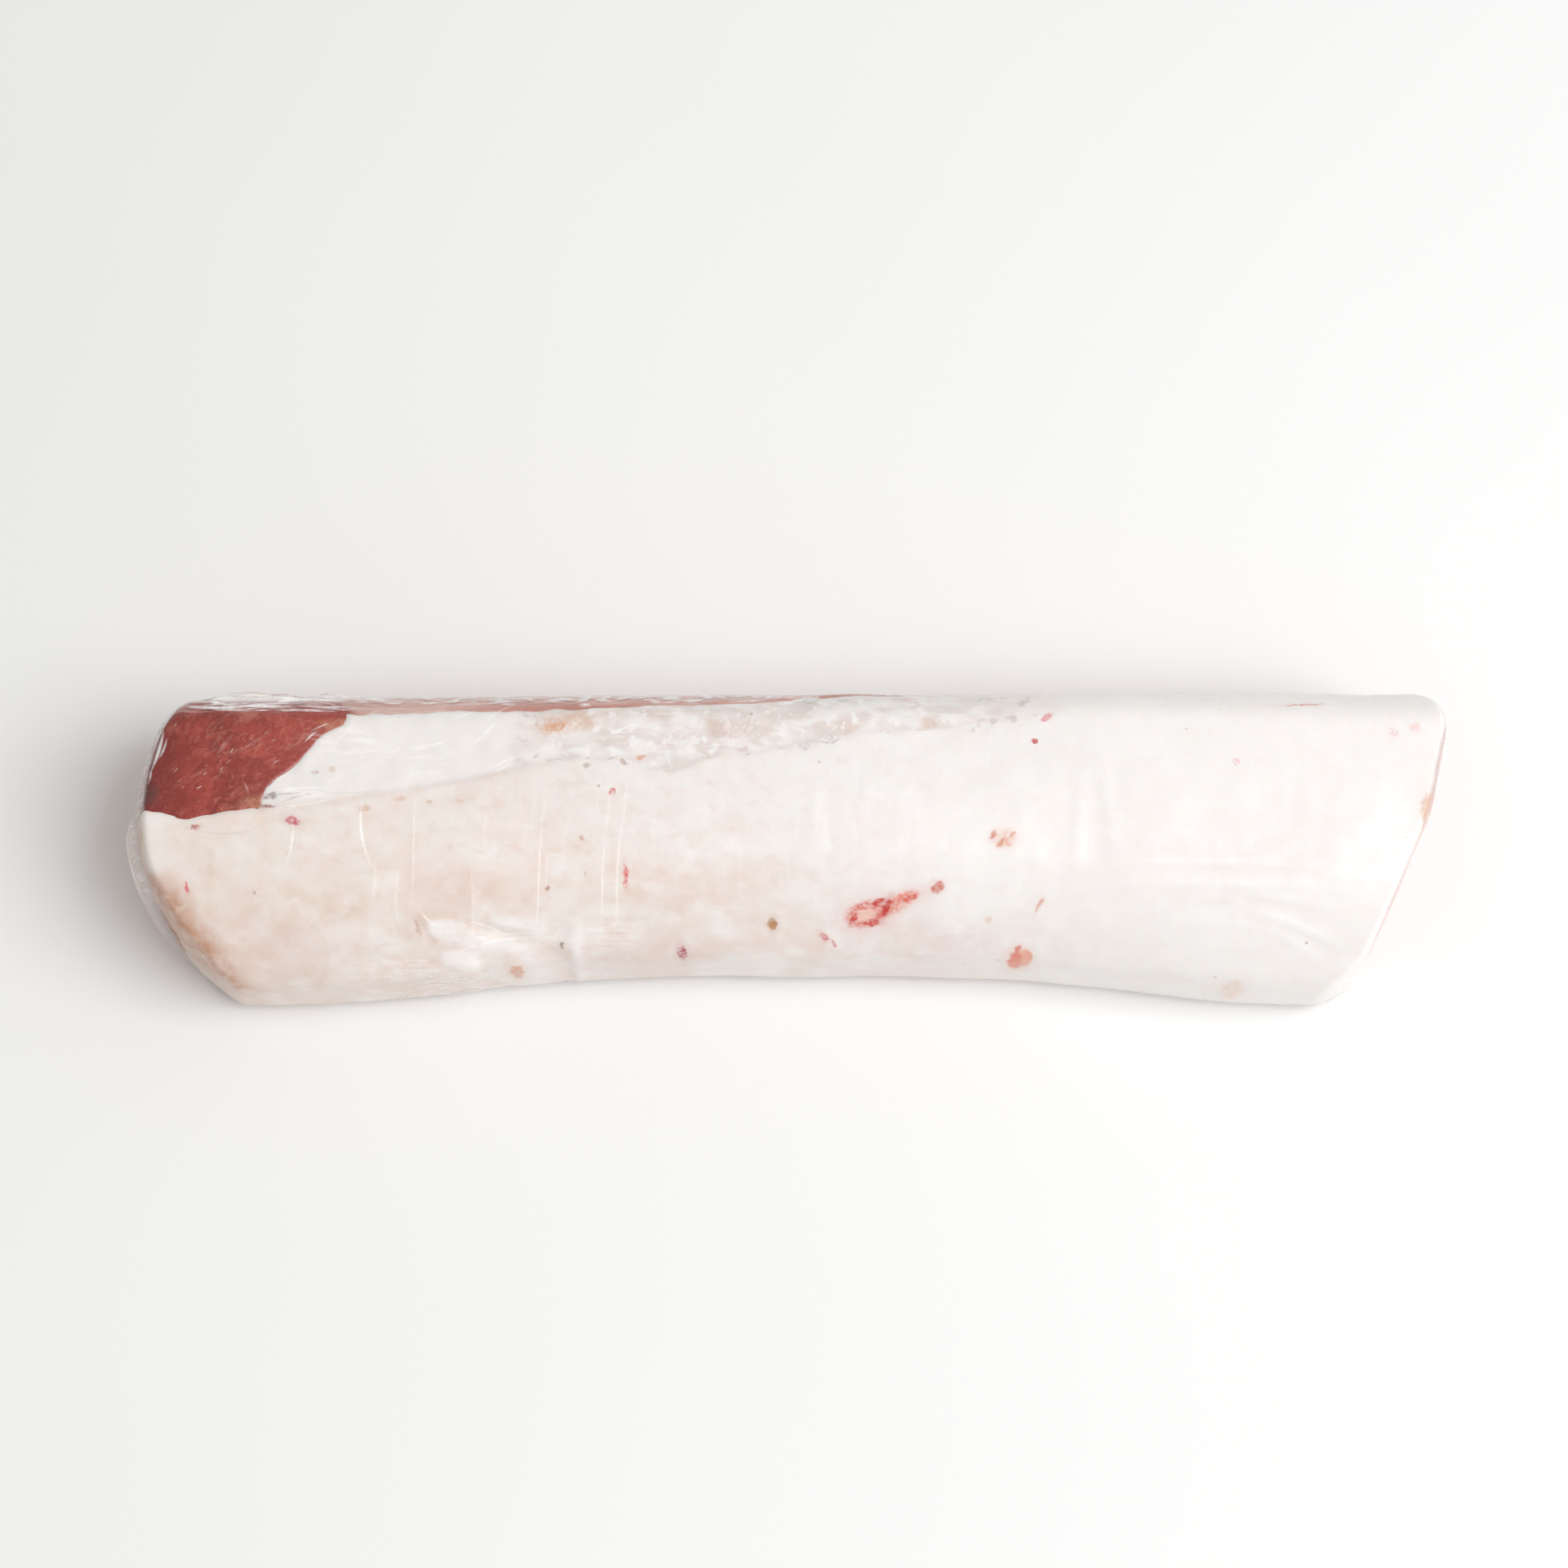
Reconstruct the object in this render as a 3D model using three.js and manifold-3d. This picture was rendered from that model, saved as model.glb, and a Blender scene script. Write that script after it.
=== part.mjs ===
// A whole bone-in pork loin lying fat side up in skin-tight clear film.
// Four solids: the lean that runs through it, the fat cap over its top and near side, and the film gathered
// over each cut end. Millimetres, X along the loin, +Y to the back (chine) side, +Z up.
import * as THREE from "three";
import { mergeVertices } from "three/addons/utils/BufferGeometryUtils.js";
import Module from "manifold-3d";

const wasm = await Module();
wasm.setup();

// Driving dimensions of the loin's box
const LENGTH = 690;
const WIDTH = 158;
const HEIGHT = 104;

// Roundings of that box: its ends, its near and far sides, its top and its base
const LEFT_ROUND = 12;
const RIGHT_ROUND = 8;
const NEAR_ROUND = 52;
const FAR_ROUND = 30;
const TOP_ROUND = 46;
const BASE_ROUND = 16;

// Plan outline: a bowed end at the left, a slanting cut at the right, a waist along the near edge
const LEFT_BOW_NEAR = 46;
const LEFT_BOW_FAR = 22;
const RIGHT_SKEW = 52;
const RIGHT_HINGE = 0.07;
const RIGHT_CURVE = 1.5;
const RIGHT_CORNER_FAR = 26;
const RIGHT_CORNER_NEAR = 18;
const WAIST_DEPTH = 16.3;
const WAIST_AT = 0.04;
const WAIST_SPREAD = 0.66;
const FAR_TAPER = 3;

// Top: highest over the eye of the loin, falling to the near side, a little thicker at the right
const CROWN_AT = 0.3;
const NEAR_FALL = 0.26;
const RIGHT_GAIN = 0.01;
const LUMP_HEIGHT = 1.6;

// Fat cap: thickness, the bare patch at the left, the trimmed band along the far side
const FAT_TOP = 13;
const FAT_NEAR = 20;
const FAT_LIP = 0.08;
const FAT_EDGE_RAMP = 8;
const PATCH_DEPTH = 4;
const PATCH_LENGTH = 65;
const PATCH_LOW = 3;
const PATCH_TURN = 12;
const PATCH_TOP = 57;
const PATCH_LEAN = 47;
const BAND_STEP = 1.8;
const BAND_WIDTH = 8;
const BAND_START = -290;
const BAND_LEVEL = -90;
const BAND_RUN = 160;
const BAND_END = 180;
const BAND_LOW = 6;
const BAND_RISE = 31;
const FAR_EDGE_LEFT = 0.85;
const FAR_EDGE_RIGHT = 1.45;
const NEAR_EDGE = -1.92;

// Film over the cut ends, and the depths that keep one solid clear of or inside another
const FILM_LEFT = 6;
const FILM_RIGHT = 2.5;
const FILM_TIGHT = 1.5;
const BARE_DEPTH = 0.6;
const BURY = 3;
const GAP = 0.35;

// Grid of the skin, and how far its rows crowd towards the edges
const LENGTH_STEPS = 46;
const WIDTH_STEPS = 16;
const HEIGHT_STEPS = 8;
const EDGE_CROWDING = 0.34;

const { lerp, smoothstep, clamp } = THREE.MathUtils;
const HALF = new THREE.Vector3(LENGTH / 2, WIDTH / 2, HEIGHT / 2);

// Spreads an even grid coordinate so that rows lie closer near -1 and 1.
function crowd(t) {
  return t * (1 + EDGE_CROWDING) - EDGE_CROWDING * t ** 3;
}

function endRound(unit) {
  return unit.x < 0 ? LEFT_ROUND : RIGHT_ROUND;
}

// A point of the cube's surface moved onto a box with those roundings, still in -1 to 1 each way.
function roundedBox(unit) {
  const rounding = new THREE.Vector3(
    endRound(unit),
    unit.y < 0 ? NEAR_ROUND : FAR_ROUND,
    unit.z < 0 ? BASE_ROUND : TOP_ROUND,
  );
  const flat = HALF.clone().sub(rounding);
  const at = unit.clone().multiply(HALF);
  const inside = at.clone().clamp(flat.clone().negate(), flat);
  const excess = at.sub(inside).divide(rounding).normalize();
  return inside.add(excess.multiply(rounding)).divide(HALF);
}

// Plan outline: where each end lies across the loin, and where each side lies along it.
function leftEnd(b) {
  return -LENGTH / 2 + (b < 0 ? LEFT_BOW_NEAR : LEFT_BOW_FAR) * b * b;
}

function rightEnd(b) {
  const past = Math.max(0, (1 - b) / 2 - RIGHT_HINGE) / (1 - RIGHT_HINGE);
  return LENGTH / 2 - RIGHT_SKEW * past ** RIGHT_CURVE - cornerPull(b);
}

// How far a rounded corner of the plan draws the right end back.
function cornerPull(b) {
  const radius = b < 0 ? RIGHT_CORNER_NEAR : RIGHT_CORNER_FAR;
  const into = clamp((Math.abs(b) * HALF.y - HALF.y + radius) / radius, 0, 1);
  return radius * (1 - Math.sqrt(1 - into * into));
}

function nearSide(a) {
  const waist = Math.exp(-(((a - WAIST_AT) / WAIST_SPREAD) ** 4));
  return -WIDTH / 2 + WAIST_DEPTH * waist;
}

function farSide(a) {
  return WIDTH / 2 - FAR_TAPER * ((1 - a) / 2) ** 3;
}

// Height of the top over the base.
function topHeight(a, b) {
  const fall = (Math.max(0, CROWN_AT - b) / (1 + CROWN_AT)) ** 2;
  const lump = LUMP_HEIGHT * Math.sin(5.3 * a + 1.1) * Math.cos(3.1 * b + 2.2 * a);
  return HEIGHT * (1 - NEAR_FALL * fall + RIGHT_GAIN * a) + lump;
}

// A point of the rounded box bent into the loin's form.
function bend({ x: a, y: b, z: c }) {
  return new THREE.Vector3(
    lerp(leftEnd(b), rightEnd(b), (a + 1) / 2),
    lerp(nearSide(a), farSide(a), (b + 1) / 2),
    topHeight(a, b) * ((c + 1) / 2),
  );
}

// How far a point of the cube's surface is from the loin's axis: 1 on the sides, 0 at an end's middle.
function reachOf(unit) {
  return Math.max(Math.abs(unit.y), Math.abs(unit.z));
}

// The point at the section's rim that lies outwards of a point.
function rimOf(unit) {
  const reach = reachOf(unit) || 1;
  return new THREE.Vector3(unit.x, unit.y / reach, unit.z / reach);
}

// How far round the section a rim point is: -2 at the foot of the near side, -1 and 1 at the top's edges,
// 2 at the foot of the far side, 3 under the loin.
function around(rim) {
  if (rim.z > 0.999) return rim.y;
  if (rim.y < -0.999) return -1 - (1 - rim.z) / 2;
  if (rim.y > 0.999) return 1 + (1 - rim.z) / 2;
  return 3;
}

// Distance outside the bare patch at the left, negative on it.
function pastPatch(x, y) {
  const up = clamp((y - PATCH_TURN) / (PATCH_TOP - PATCH_TURN), 0, 1);
  const right = x + LENGTH / 2 - PATCH_LENGTH - PATCH_LEAN * up;
  const below = PATCH_LOW - y;
  return Math.max(right, below);
}

// Where the thick fat stops short of the far side, as a distance across the loin.
function bandEdge(x) {
  const rising = smoothstep(x, BAND_START, BAND_LEVEL);
  const ending = smoothstep(x, BAND_LEVEL + BAND_RUN, BAND_END);
  return BAND_LOW + BAND_RISE * (rising + ending);
}

// Share of fat cover at a rim point: 1 under the full cap, 0 where the lean is bare.
function cover(rim, point) {
  const turn = around(rim);
  const farEdge = lerp(FAR_EDGE_LEFT, FAR_EDGE_RIGHT, smoothstep(point.x, -20, 60));
  const past = Math.min(
    (farEdge - turn) * HALF.y,
    (turn - NEAR_EDGE) * HALF.z,
    pastPatch(point.x, point.y),
  );
  return smoothstep(past, 0, FAT_EDGE_RAMP);
}

// Depth of the bare surface under the box: the patch is sunk by the fat that was trimmed away.
function bareDepth(point) {
  const onPatch = 1 - smoothstep(pastPatch(point.x, point.y), -FAT_EDGE_RAMP, FAT_EDGE_RAMP);
  const above = smoothstep(point.z, HEIGHT * 0.45, HEIGHT * 0.75);
  return BARE_DEPTH + (PATCH_DEPTH - BARE_DEPTH) * onPatch * above;
}

function fatThickness(rim) {
  return lerp(FAT_NEAR, FAT_TOP, smoothstep(around(rim), -1.4, -0.4));
}

// Each solid's depth under the box: inwards, towards the loin's axis, and along it at the two ends.
function leanDepth(unit, rim, point) {
  const aboveBase = smoothstep(point.z, 0, BASE_ROUND / 2);
  const bare = bareDepth(point) * aboveBase;
  return { inwards: lerp(bare, fatThickness(rim), cover(rim, point)), along: BARE_DEPTH };
}

function fatDepth(unit, rim, point) {
  const overBand = smoothstep(point.y - bandEdge(point.x), -BAND_WIDTH / 2, BAND_WIDTH / 2);
  const share = cover(rim, point);
  const radius = Math.hypot(rim.y * HALF.y, rim.z * HALF.z);
  const inner = 1 - fatThickness(rim) / radius;
  const onRim = share * smoothstep(reachOf(unit), inner - FAT_LIP, inner);
  return {
    inwards: lerp(bareDepth(point) + BURY, BAND_STEP * overBand, share),
    along: lerp(BARE_DEPTH + BURY, 0, onRim),
  };
}

// The film stands off each cut end and passes under the meat's own skin at its rim.
function filmDepth(unit, rim, point) {
  const slack = (1 - smoothstep(unit.y, -0.1, 0.15)) * smoothstep(unit.y, -0.8, -0.35);
  const atLeft = lerp(FILM_TIGHT, FILM_LEFT, slack);
  return { inwards: bareDepth(point) + BURY, along: unit.x < 0 ? -atLeft : -FILM_RIGHT };
}

// A point of the cube's surface on the loin, sunk by a depth.
function place(unit, { inwards, along }) {
  const box = roundedBox(unit).multiply(HALF);
  const endShare = smoothstep(Math.abs(unit.x), 1 - endRound(unit) / HALF.x, 1);
  const move = new THREE.Vector3(0, -box.y, -box.z).setLength(inwards * reachOf(unit));
  move.x = -Math.sign(unit.x) * along * endShare;
  return bend(box.add(move).divide(HALF));
}

// The loin's skin sunk by a depth that varies over it, as one closed geometry.
function skin(depthAt, gap = 0) {
  const cube = new THREE.BoxGeometry(2, 2, 2, LENGTH_STEPS, WIDTH_STEPS, HEIGHT_STEPS);
  cube.deleteAttribute("normal");
  cube.deleteAttribute("uv");
  const geometry = mergeVertices(cube);
  const position = geometry.attributes.position;
  for (let i = 0; i < position.count; i++) {
    const at = new THREE.Vector3().fromBufferAttribute(position, i);
    const unit = new THREE.Vector3(crowd(at.x), crowd(at.y), crowd(at.z));
    const rim = rimOf(unit);
    const depth = depthAt(unit, rim, bend(roundedBox(rim)));
    const clear = { inwards: depth.inwards - gap, along: depth.along - gap };
    position.setXYZ(i, ...place(unit, clear));
  }
  geometry.computeVertexNormals();
  return geometry;
}

// Closed geometry to a solid that can be cut, and back.
function solidOf(geometry) {
  return new wasm.Manifold(
    new wasm.Mesh({
      numProp: 3,
      vertProperties: geometry.attributes.position.array,
      triVerts: new Uint32Array(geometry.index.array),
    }),
  );
}

function geometryOf(solid) {
  const mesh = solid.getMesh();
  const geometry = new THREE.BufferGeometry();
  geometry.setAttribute("position", new THREE.BufferAttribute(mesh.vertProperties, mesh.numProp));
  geometry.setIndex(new THREE.BufferAttribute(mesh.triVerts, 1));
  geometry.computeVertexNormals();
  return geometry;
}

// The largest body of a cut solid, without the scraps that a glancing cut leaves.
function mainBody(solid) {
  return solid.decompose().reduce((best, next) => (next.volume() > best.volume() ? next : best));
}

function part(name, geometry, colour, roughness, opacity = 1) {
  const material = new THREE.MeshStandardMaterial({
    color: colour,
    roughness,
    metalness: 0,
    transparent: opacity < 1,
    opacity,
  });
  const mesh = new THREE.Mesh(geometry, material);
  mesh.name = name;
  return mesh;
}

// A solid together with the gap that its neighbours keep from it.
function cutter(depthAt) {
  return solidOf(skin(depthAt, GAP)).add(solidOf(skin(depthAt)));
}

const leanCutter = cutter(leanDepth);
const fatCutter = cutter(fatDepth);
const fatCap = mainBody(solidOf(skin(fatDepth)).subtract(leanCutter));
const filmEnds = solidOf(skin(filmDepth)).subtract(leanCutter.add(fatCutter)).decompose();

// The film's two ends, told apart by the side of the middle that they lie on.
function filmEnd(side) {
  const onSide = filmEnds.filter((body) => Math.sign(body.boundingBox().min[0]) === side);
  return geometryOf(onSide.reduce((best, next) => (next.volume() > best.volume() ? next : best)));
}

const loin = new THREE.Group();
loin.add(part("lean", skin(leanDepth), 0x9e4a42, 0.45));
loin.add(part("fat_cap", geometryOf(fatCap), 0xf2e6dd, 0.5));
loin.add(part("film_end_left", filmEnd(-1), 0xf4f4f2, 0.15, 0.3));
loin.add(part("film_end_right", filmEnd(1), 0xf4f4f2, 0.15, 0.3));

// Origin on the table, under the middle of the whole box
const box = new THREE.Box3().setFromObject(loin);
const middle = box.getCenter(new THREE.Vector3());
loin.position.set(-middle.x, -middle.y, -box.min.z);

const porkLoin = new THREE.Group();
porkLoin.add(loin);

export default porkLoin;
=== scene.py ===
"""Whole bone-in pork loin, fat side up in skin-tight clear film: its looks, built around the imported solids.

Metres, X along the loin, +Y to the far side where the lean shows, +Z up.
"""
import logging
import math
import random
from dataclasses import dataclass
from enum import Enum
from typing import Optional, Union

import bmesh
import bpy
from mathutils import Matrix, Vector, noise
from mathutils.bvhtree import BVHTree


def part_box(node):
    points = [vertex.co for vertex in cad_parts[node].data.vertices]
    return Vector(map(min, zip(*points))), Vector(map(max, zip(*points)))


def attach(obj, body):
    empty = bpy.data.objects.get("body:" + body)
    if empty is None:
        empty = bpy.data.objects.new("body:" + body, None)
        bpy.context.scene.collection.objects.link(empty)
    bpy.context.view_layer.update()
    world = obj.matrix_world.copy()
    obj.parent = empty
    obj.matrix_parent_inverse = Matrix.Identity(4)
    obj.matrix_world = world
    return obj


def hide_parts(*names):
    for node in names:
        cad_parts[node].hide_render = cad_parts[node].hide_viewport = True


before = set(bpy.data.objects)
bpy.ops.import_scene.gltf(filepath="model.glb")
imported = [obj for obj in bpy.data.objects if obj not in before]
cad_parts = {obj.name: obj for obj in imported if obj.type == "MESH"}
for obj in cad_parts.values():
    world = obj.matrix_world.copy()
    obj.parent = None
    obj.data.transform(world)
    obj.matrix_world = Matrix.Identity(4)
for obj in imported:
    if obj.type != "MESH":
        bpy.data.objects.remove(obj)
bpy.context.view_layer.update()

LOG = logging.getLogger("pork_loin")
MM = 0.001
# Turns round the section past this lie underneath
UNDERNEATH = 2.5
BUMP_DEPTH = 0.0012
# A zone is at its full strength out to this share of its half size
ZONE_CORE = 0.2

Colour = tuple[float, float, float, float]
Socket = bpy.types.NodeSocket
Outputs = bpy.types.NodeOutputs
Feed = Union[Socket, float, tuple]
Span = tuple[float, float]


class Slot(Enum):
    """The material slots."""

    LEAN = "lean"
    FAT = "fat"
    FILM = "film"


def srgb(red: int, green: int, blue: int) -> Colour:
    """A colour as the eye names it, made linear.

    Args:
        red: Red, 0 to 255.
        green: Green, 0 to 255.
        blue: Blue, 0 to 255.

    Returns:
        Linear red, green, blue and an alpha of 1.
    """
    shares = [value / 255 for value in (red, green, blue)]
    linear = [s / 12.92 if s <= 0.04045 else ((s + 0.055) / 1.055) ** 2.4 for s in shares]
    return (linear[0], linear[1], linear[2], 1.0)


def lerp(low: float, high: float, share: float) -> float:
    """The value a share of the way from low to high."""
    return low + (high - low) * share


def smoothstep(value: float, low: float, high: float) -> float:
    """A soft step from 0 at low to 1 at high."""
    share = min(max((value - low) / (high - low), 0.0), 1.0)
    return share * share * (3 - 2 * share)


def along_line(points: tuple[tuple[float, float], ...], at: float) -> float:
    """The second value of a line of points where the first is at a place, level beyond its ends.

    Args:
        points: The line's points, in the order of their first values.
        at: The first value.

    Returns:
        The second value there.
    """
    if at <= points[0][0]:
        return points[0][1]
    for (low, start), (high, end) in zip(points, points[1:]):
        if at < high:
            return lerp(start, end, (at - low) / (high - low))
    return points[-1][1]


@dataclass(frozen=True)
class Rough:
    """Smooth seeded unevenness: how far it strays, how wide a swelling is, and a shift of its pattern."""

    depth: float
    size: float
    shift: float = 0.0

    def at(self, place: Vector) -> float:
        """The unevenness at a place, from about -depth to depth."""
        x, y, z = (value / self.size for value in place)
        return self.depth * noise.noise(Vector((x + self.shift, y - self.shift, z)))


@dataclass(frozen=True)
class LoinForm:
    """The loin's plain form: a rounded box bent to the plan outline."""

    length: float = 0.690
    width: float = 0.158
    height: float = 0.104
    left_round: float = 0.010
    right_round: float = 0.004
    near_round: float = 0.052
    far_round: float = 0.030
    top_round: float = 0.046
    base_round: float = 0.016
    left_bow_near: float = 0.046
    left_bow_far: float = 0.022
    right_skew: float = 0.052
    right_hinge: float = 0.07
    right_curve: float = 1.5
    right_corner_far: float = 0.033
    right_corner_near: float = 0.018
    right_full: float = 0.0016
    right_belly: float = 0.0020
    belly_at: float = 0.04
    belly_spread: float = 0.20
    waist_depth: float = 0.0163
    waist_at: float = 0.04
    waist_spread: float = 0.66
    far_taper: float = 0.003
    crown_at: float = 0.3
    near_fall: float = 0.26
    right_gain: float = 0.01
    lump_height: float = 0.0016
    lump_along: Span = (5.3, 1.1)
    lump_across: Span = (3.1, 2.2)

    @property
    def half(self) -> Vector:
        """Half of the box each way."""
        return Vector((self.length / 2, self.width / 2, self.height / 2))

    def end_round(self, along: float) -> float:
        """Rounding of the end on a side of the middle."""
        return self.left_round if along < 0 else self.right_round

    def left_end(self, across: float) -> float:
        """Where the left end lies, across the loin."""
        bow = self.left_bow_near if across < 0 else self.left_bow_far
        return -self.length / 2 + bow * across * across

    def right_end(self, across: float) -> float:
        """Where the right end lies, across the loin.

        Args:
            across: Place across the loin, -1 at the near side to 1 at the far side.

        Returns:
            Place along the loin, in metres from its middle.
        """
        past = max(0.0, (1 - across) / 2 - self.right_hinge) / (1 - self.right_hinge)
        radius = self.right_corner_near if across < 0 else self.right_corner_far
        into = min(max((abs(across) * self.width / 2 - self.width / 2 + radius) / radius, 0.0), 1.0)
        pull = radius * (1 - math.sqrt(1 - into * into))
        belly = self.right_belly * math.exp(-(((across - self.belly_at) / self.belly_spread) ** 2))
        reach = self.length / 2 + self.right_full + belly
        return reach - self.right_skew * past ** self.right_curve - pull

    def rounded(self, unit: Vector) -> Vector:
        """A point of the cube's surface moved onto the rounded box.

        Args:
            unit: A point of the cube, -1 to 1 each way.

        Returns:
            The point of the box, in metres from its middle.
        """
        half = self.half
        rounding = (
            self.end_round(unit.x),
            self.near_round if unit.y < 0 else self.far_round,
            self.base_round if unit.z < 0 else self.top_round,
        )
        inside = Vector((0, 0, 0))
        excess = Vector((0, 0, 0))
        for axis in range(3):
            at = unit[axis] * half[axis]
            flat = half[axis] - rounding[axis]
            inside[axis] = min(max(at, -flat), flat)
            excess[axis] = (at - inside[axis]) / rounding[axis]
        excess.normalize()
        for axis in range(3):
            inside[axis] += excess[axis] * rounding[axis]
        return inside

    def bend(self, box: Vector) -> Vector:
        """A point of the rounded box bent into the loin's form.

        Args:
            box: The point, in metres from the box's middle.

        Returns:
            The point on the loin, with the base at height 0.
        """
        half = self.half
        along, across, up = box.x / half.x, box.y / half.y, box.z / half.z
        waist = math.exp(-(((along - self.waist_at) / self.waist_spread) ** 4))
        near = -half.y + self.waist_depth * waist
        far = half.y - self.far_taper * ((1 - along) / 2) ** 3
        fall = (max(0.0, self.crown_at - across) / (1 + self.crown_at)) ** 2
        (pace, phase), (fan, skew) = self.lump_along, self.lump_across
        lump = self.lump_height * math.sin(pace * along + phase) * math.cos(fan * across + skew * along)
        top = self.height * (1 - self.near_fall * fall + self.right_gain * along) + lump
        return Vector((
            lerp(self.left_end(across), self.right_end(across), (along + 1) / 2),
            lerp(near, far, (across + 1) / 2),
            top * (up + 1) / 2,
        ))


@dataclass
class Site:
    """One point of the loin's skin, shared by every layer."""

    unit: Vector
    rim: Vector
    reach: float
    box: Vector
    spot: Vector
    edge: Vector
    turn: float
    end_share: float
    left_gap: float
    right_gap: float
    cover: float = 0.0
    band: float = 0.0
    patch: float = 0.0
    lean_in: float = 0.0
    lean_along: float = 0.0
    crest: float = 0.0
    fat_in: float = 0.0
    fat_along: float = 0.0


@dataclass(frozen=True)
class Fold:
    """A soft ridge of the fat, or a groove where its height is negative, along a line of the plan, in mm."""

    start: tuple[float, float]
    end: tuple[float, float]
    bow: float
    width: float
    height: float

    def rise(self, x: float, y: float) -> float:
        """How far the fold lifts the fat at a place.

        Args:
            x: Place along the loin, in millimetres.
            y: Place across the loin, in millimetres.

        Returns:
            The lift in millimetres, negative in a groove.
        """
        (x0, y0), (x1, y1) = self.start, self.end
        run_x, run_y = x1 - x0, y1 - y0
        length = math.hypot(run_x, run_y)
        share = ((x - x0) * run_x + (y - y0) * run_y) / length ** 2
        if not 0 < share < 1:
            return 0.0
        side = ((y - y0) * run_x - (x - x0) * run_y) / length - self.bow * 4 * share * (1 - share)
        if abs(side) > 3 * self.width:
            return 0.0
        return self.height * math.exp(-((side / self.width) ** 2)) * math.sqrt(math.sin(math.pi * share))


FOLDS = (
    Fold((157, -35), (288, -39), 2.6, 3.0, 0.65),
    Fold((162, -25), (284, -28), 2.6, 3.0, 0.45),
    Fold((225, -44), (286, -64), 2.0, 2.8, 0.9),
    Fold((190, -52), (250, -56), 1.5, 3.0, 0.5),
    Fold((236, -40), (282, -48), 1.0, 2.4, 0.6),
    Fold((246, -56), (276, -70), 1.0, 2.6, 0.6),
    Fold((176, -30), (262, -32), 2.0, 2.8, -0.35),
    Fold((206, -44), (262, -50), 2.0, 2.6, -0.5),
    Fold((-195, -50), (-187, -61), 0.0, 2.0, -1.3),
    Fold((-172, -54), (-130, -61), 1.6, 2.2, -1.3),
    Fold((-132, -60.5), (-116, -64), 0.0, 2.2, -1.1),
    Fold((-191, -56), (-160, -57.5), 0.5, 4.0, 1.2),
    Fold((-159, -50.5), (-127, -53), 0.5, 3.6, 0.9),
    Fold((-112, -50), (-114, -68), 0.0, 4.0, 0.9),
    Fold((-184, -66), (-164, -68), 0.0, 3.4, 1.0),
    Fold((-150, -64), (-128, -68), 0.0, 4.0, 0.7),
    Fold((-268, 5), (-205, 14), -1.5, 2.2, -0.5),
    Fold((-205, 14), (-138, 28), -1.0, 2.2, -0.45),
    Fold((-314, -7), (-269, -6.5), -4.0, 2.2, -0.35),
    Fold((-262, -62), (-205, -58), 2.0, 6.0, 0.8),
    Fold((33, -48), (62, -41), 0.0, 5.0, -0.7),
    Fold((14, 20), (8, -22), 1.0, 3.4, 0.35),
    Fold((40, 22), (30, -10), 1.5, 3.0, 0.30),
    Fold((150, 30), (146, -40), 1.0, 3.0, 0.30),
    Fold((162, 34), (168, -10), -2.0, 3.0, 0.30),
)


# The bare patch's right edge, as x at each y, in millimetres
PATCH_EDGE = (
    (3, -276), (15.6, -274.4), (22, -269), (28.7, -260.4), (34.8, -253.4), (43, -248), (47, -243),
    (51, -236), (56, -234), (61, -236), (66, -242),
)


# How far round the far side the fat reaches, as a turn at each x in millimetres
FAR_EDGE = (
    (-120, 0.770), (-10, 0.865), (18, 1.06), (44, 1.25), (80, 1.38), (130, 1.45), (190, 1.40), (250, 1.50),
    (330, 1.46),
)


# Where the thick fat stops short of the far side, as y at each x, in millimetres
BAND_EDGE = (
    (-300, 3), (-268, 5), (-240, 9.5), (-205, 14), (-170, 21), (-138, 28), (-113, 31), (-96, 32), (-79, 30),
    (-62, 26), (-45, 28), (-28, 32), (-7, 36.5), (14, 40), (36, 42.4), (57, 44.7), (79, 47), (100, 49),
    (121, 52), (160, 60), (190, 72),
)


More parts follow.
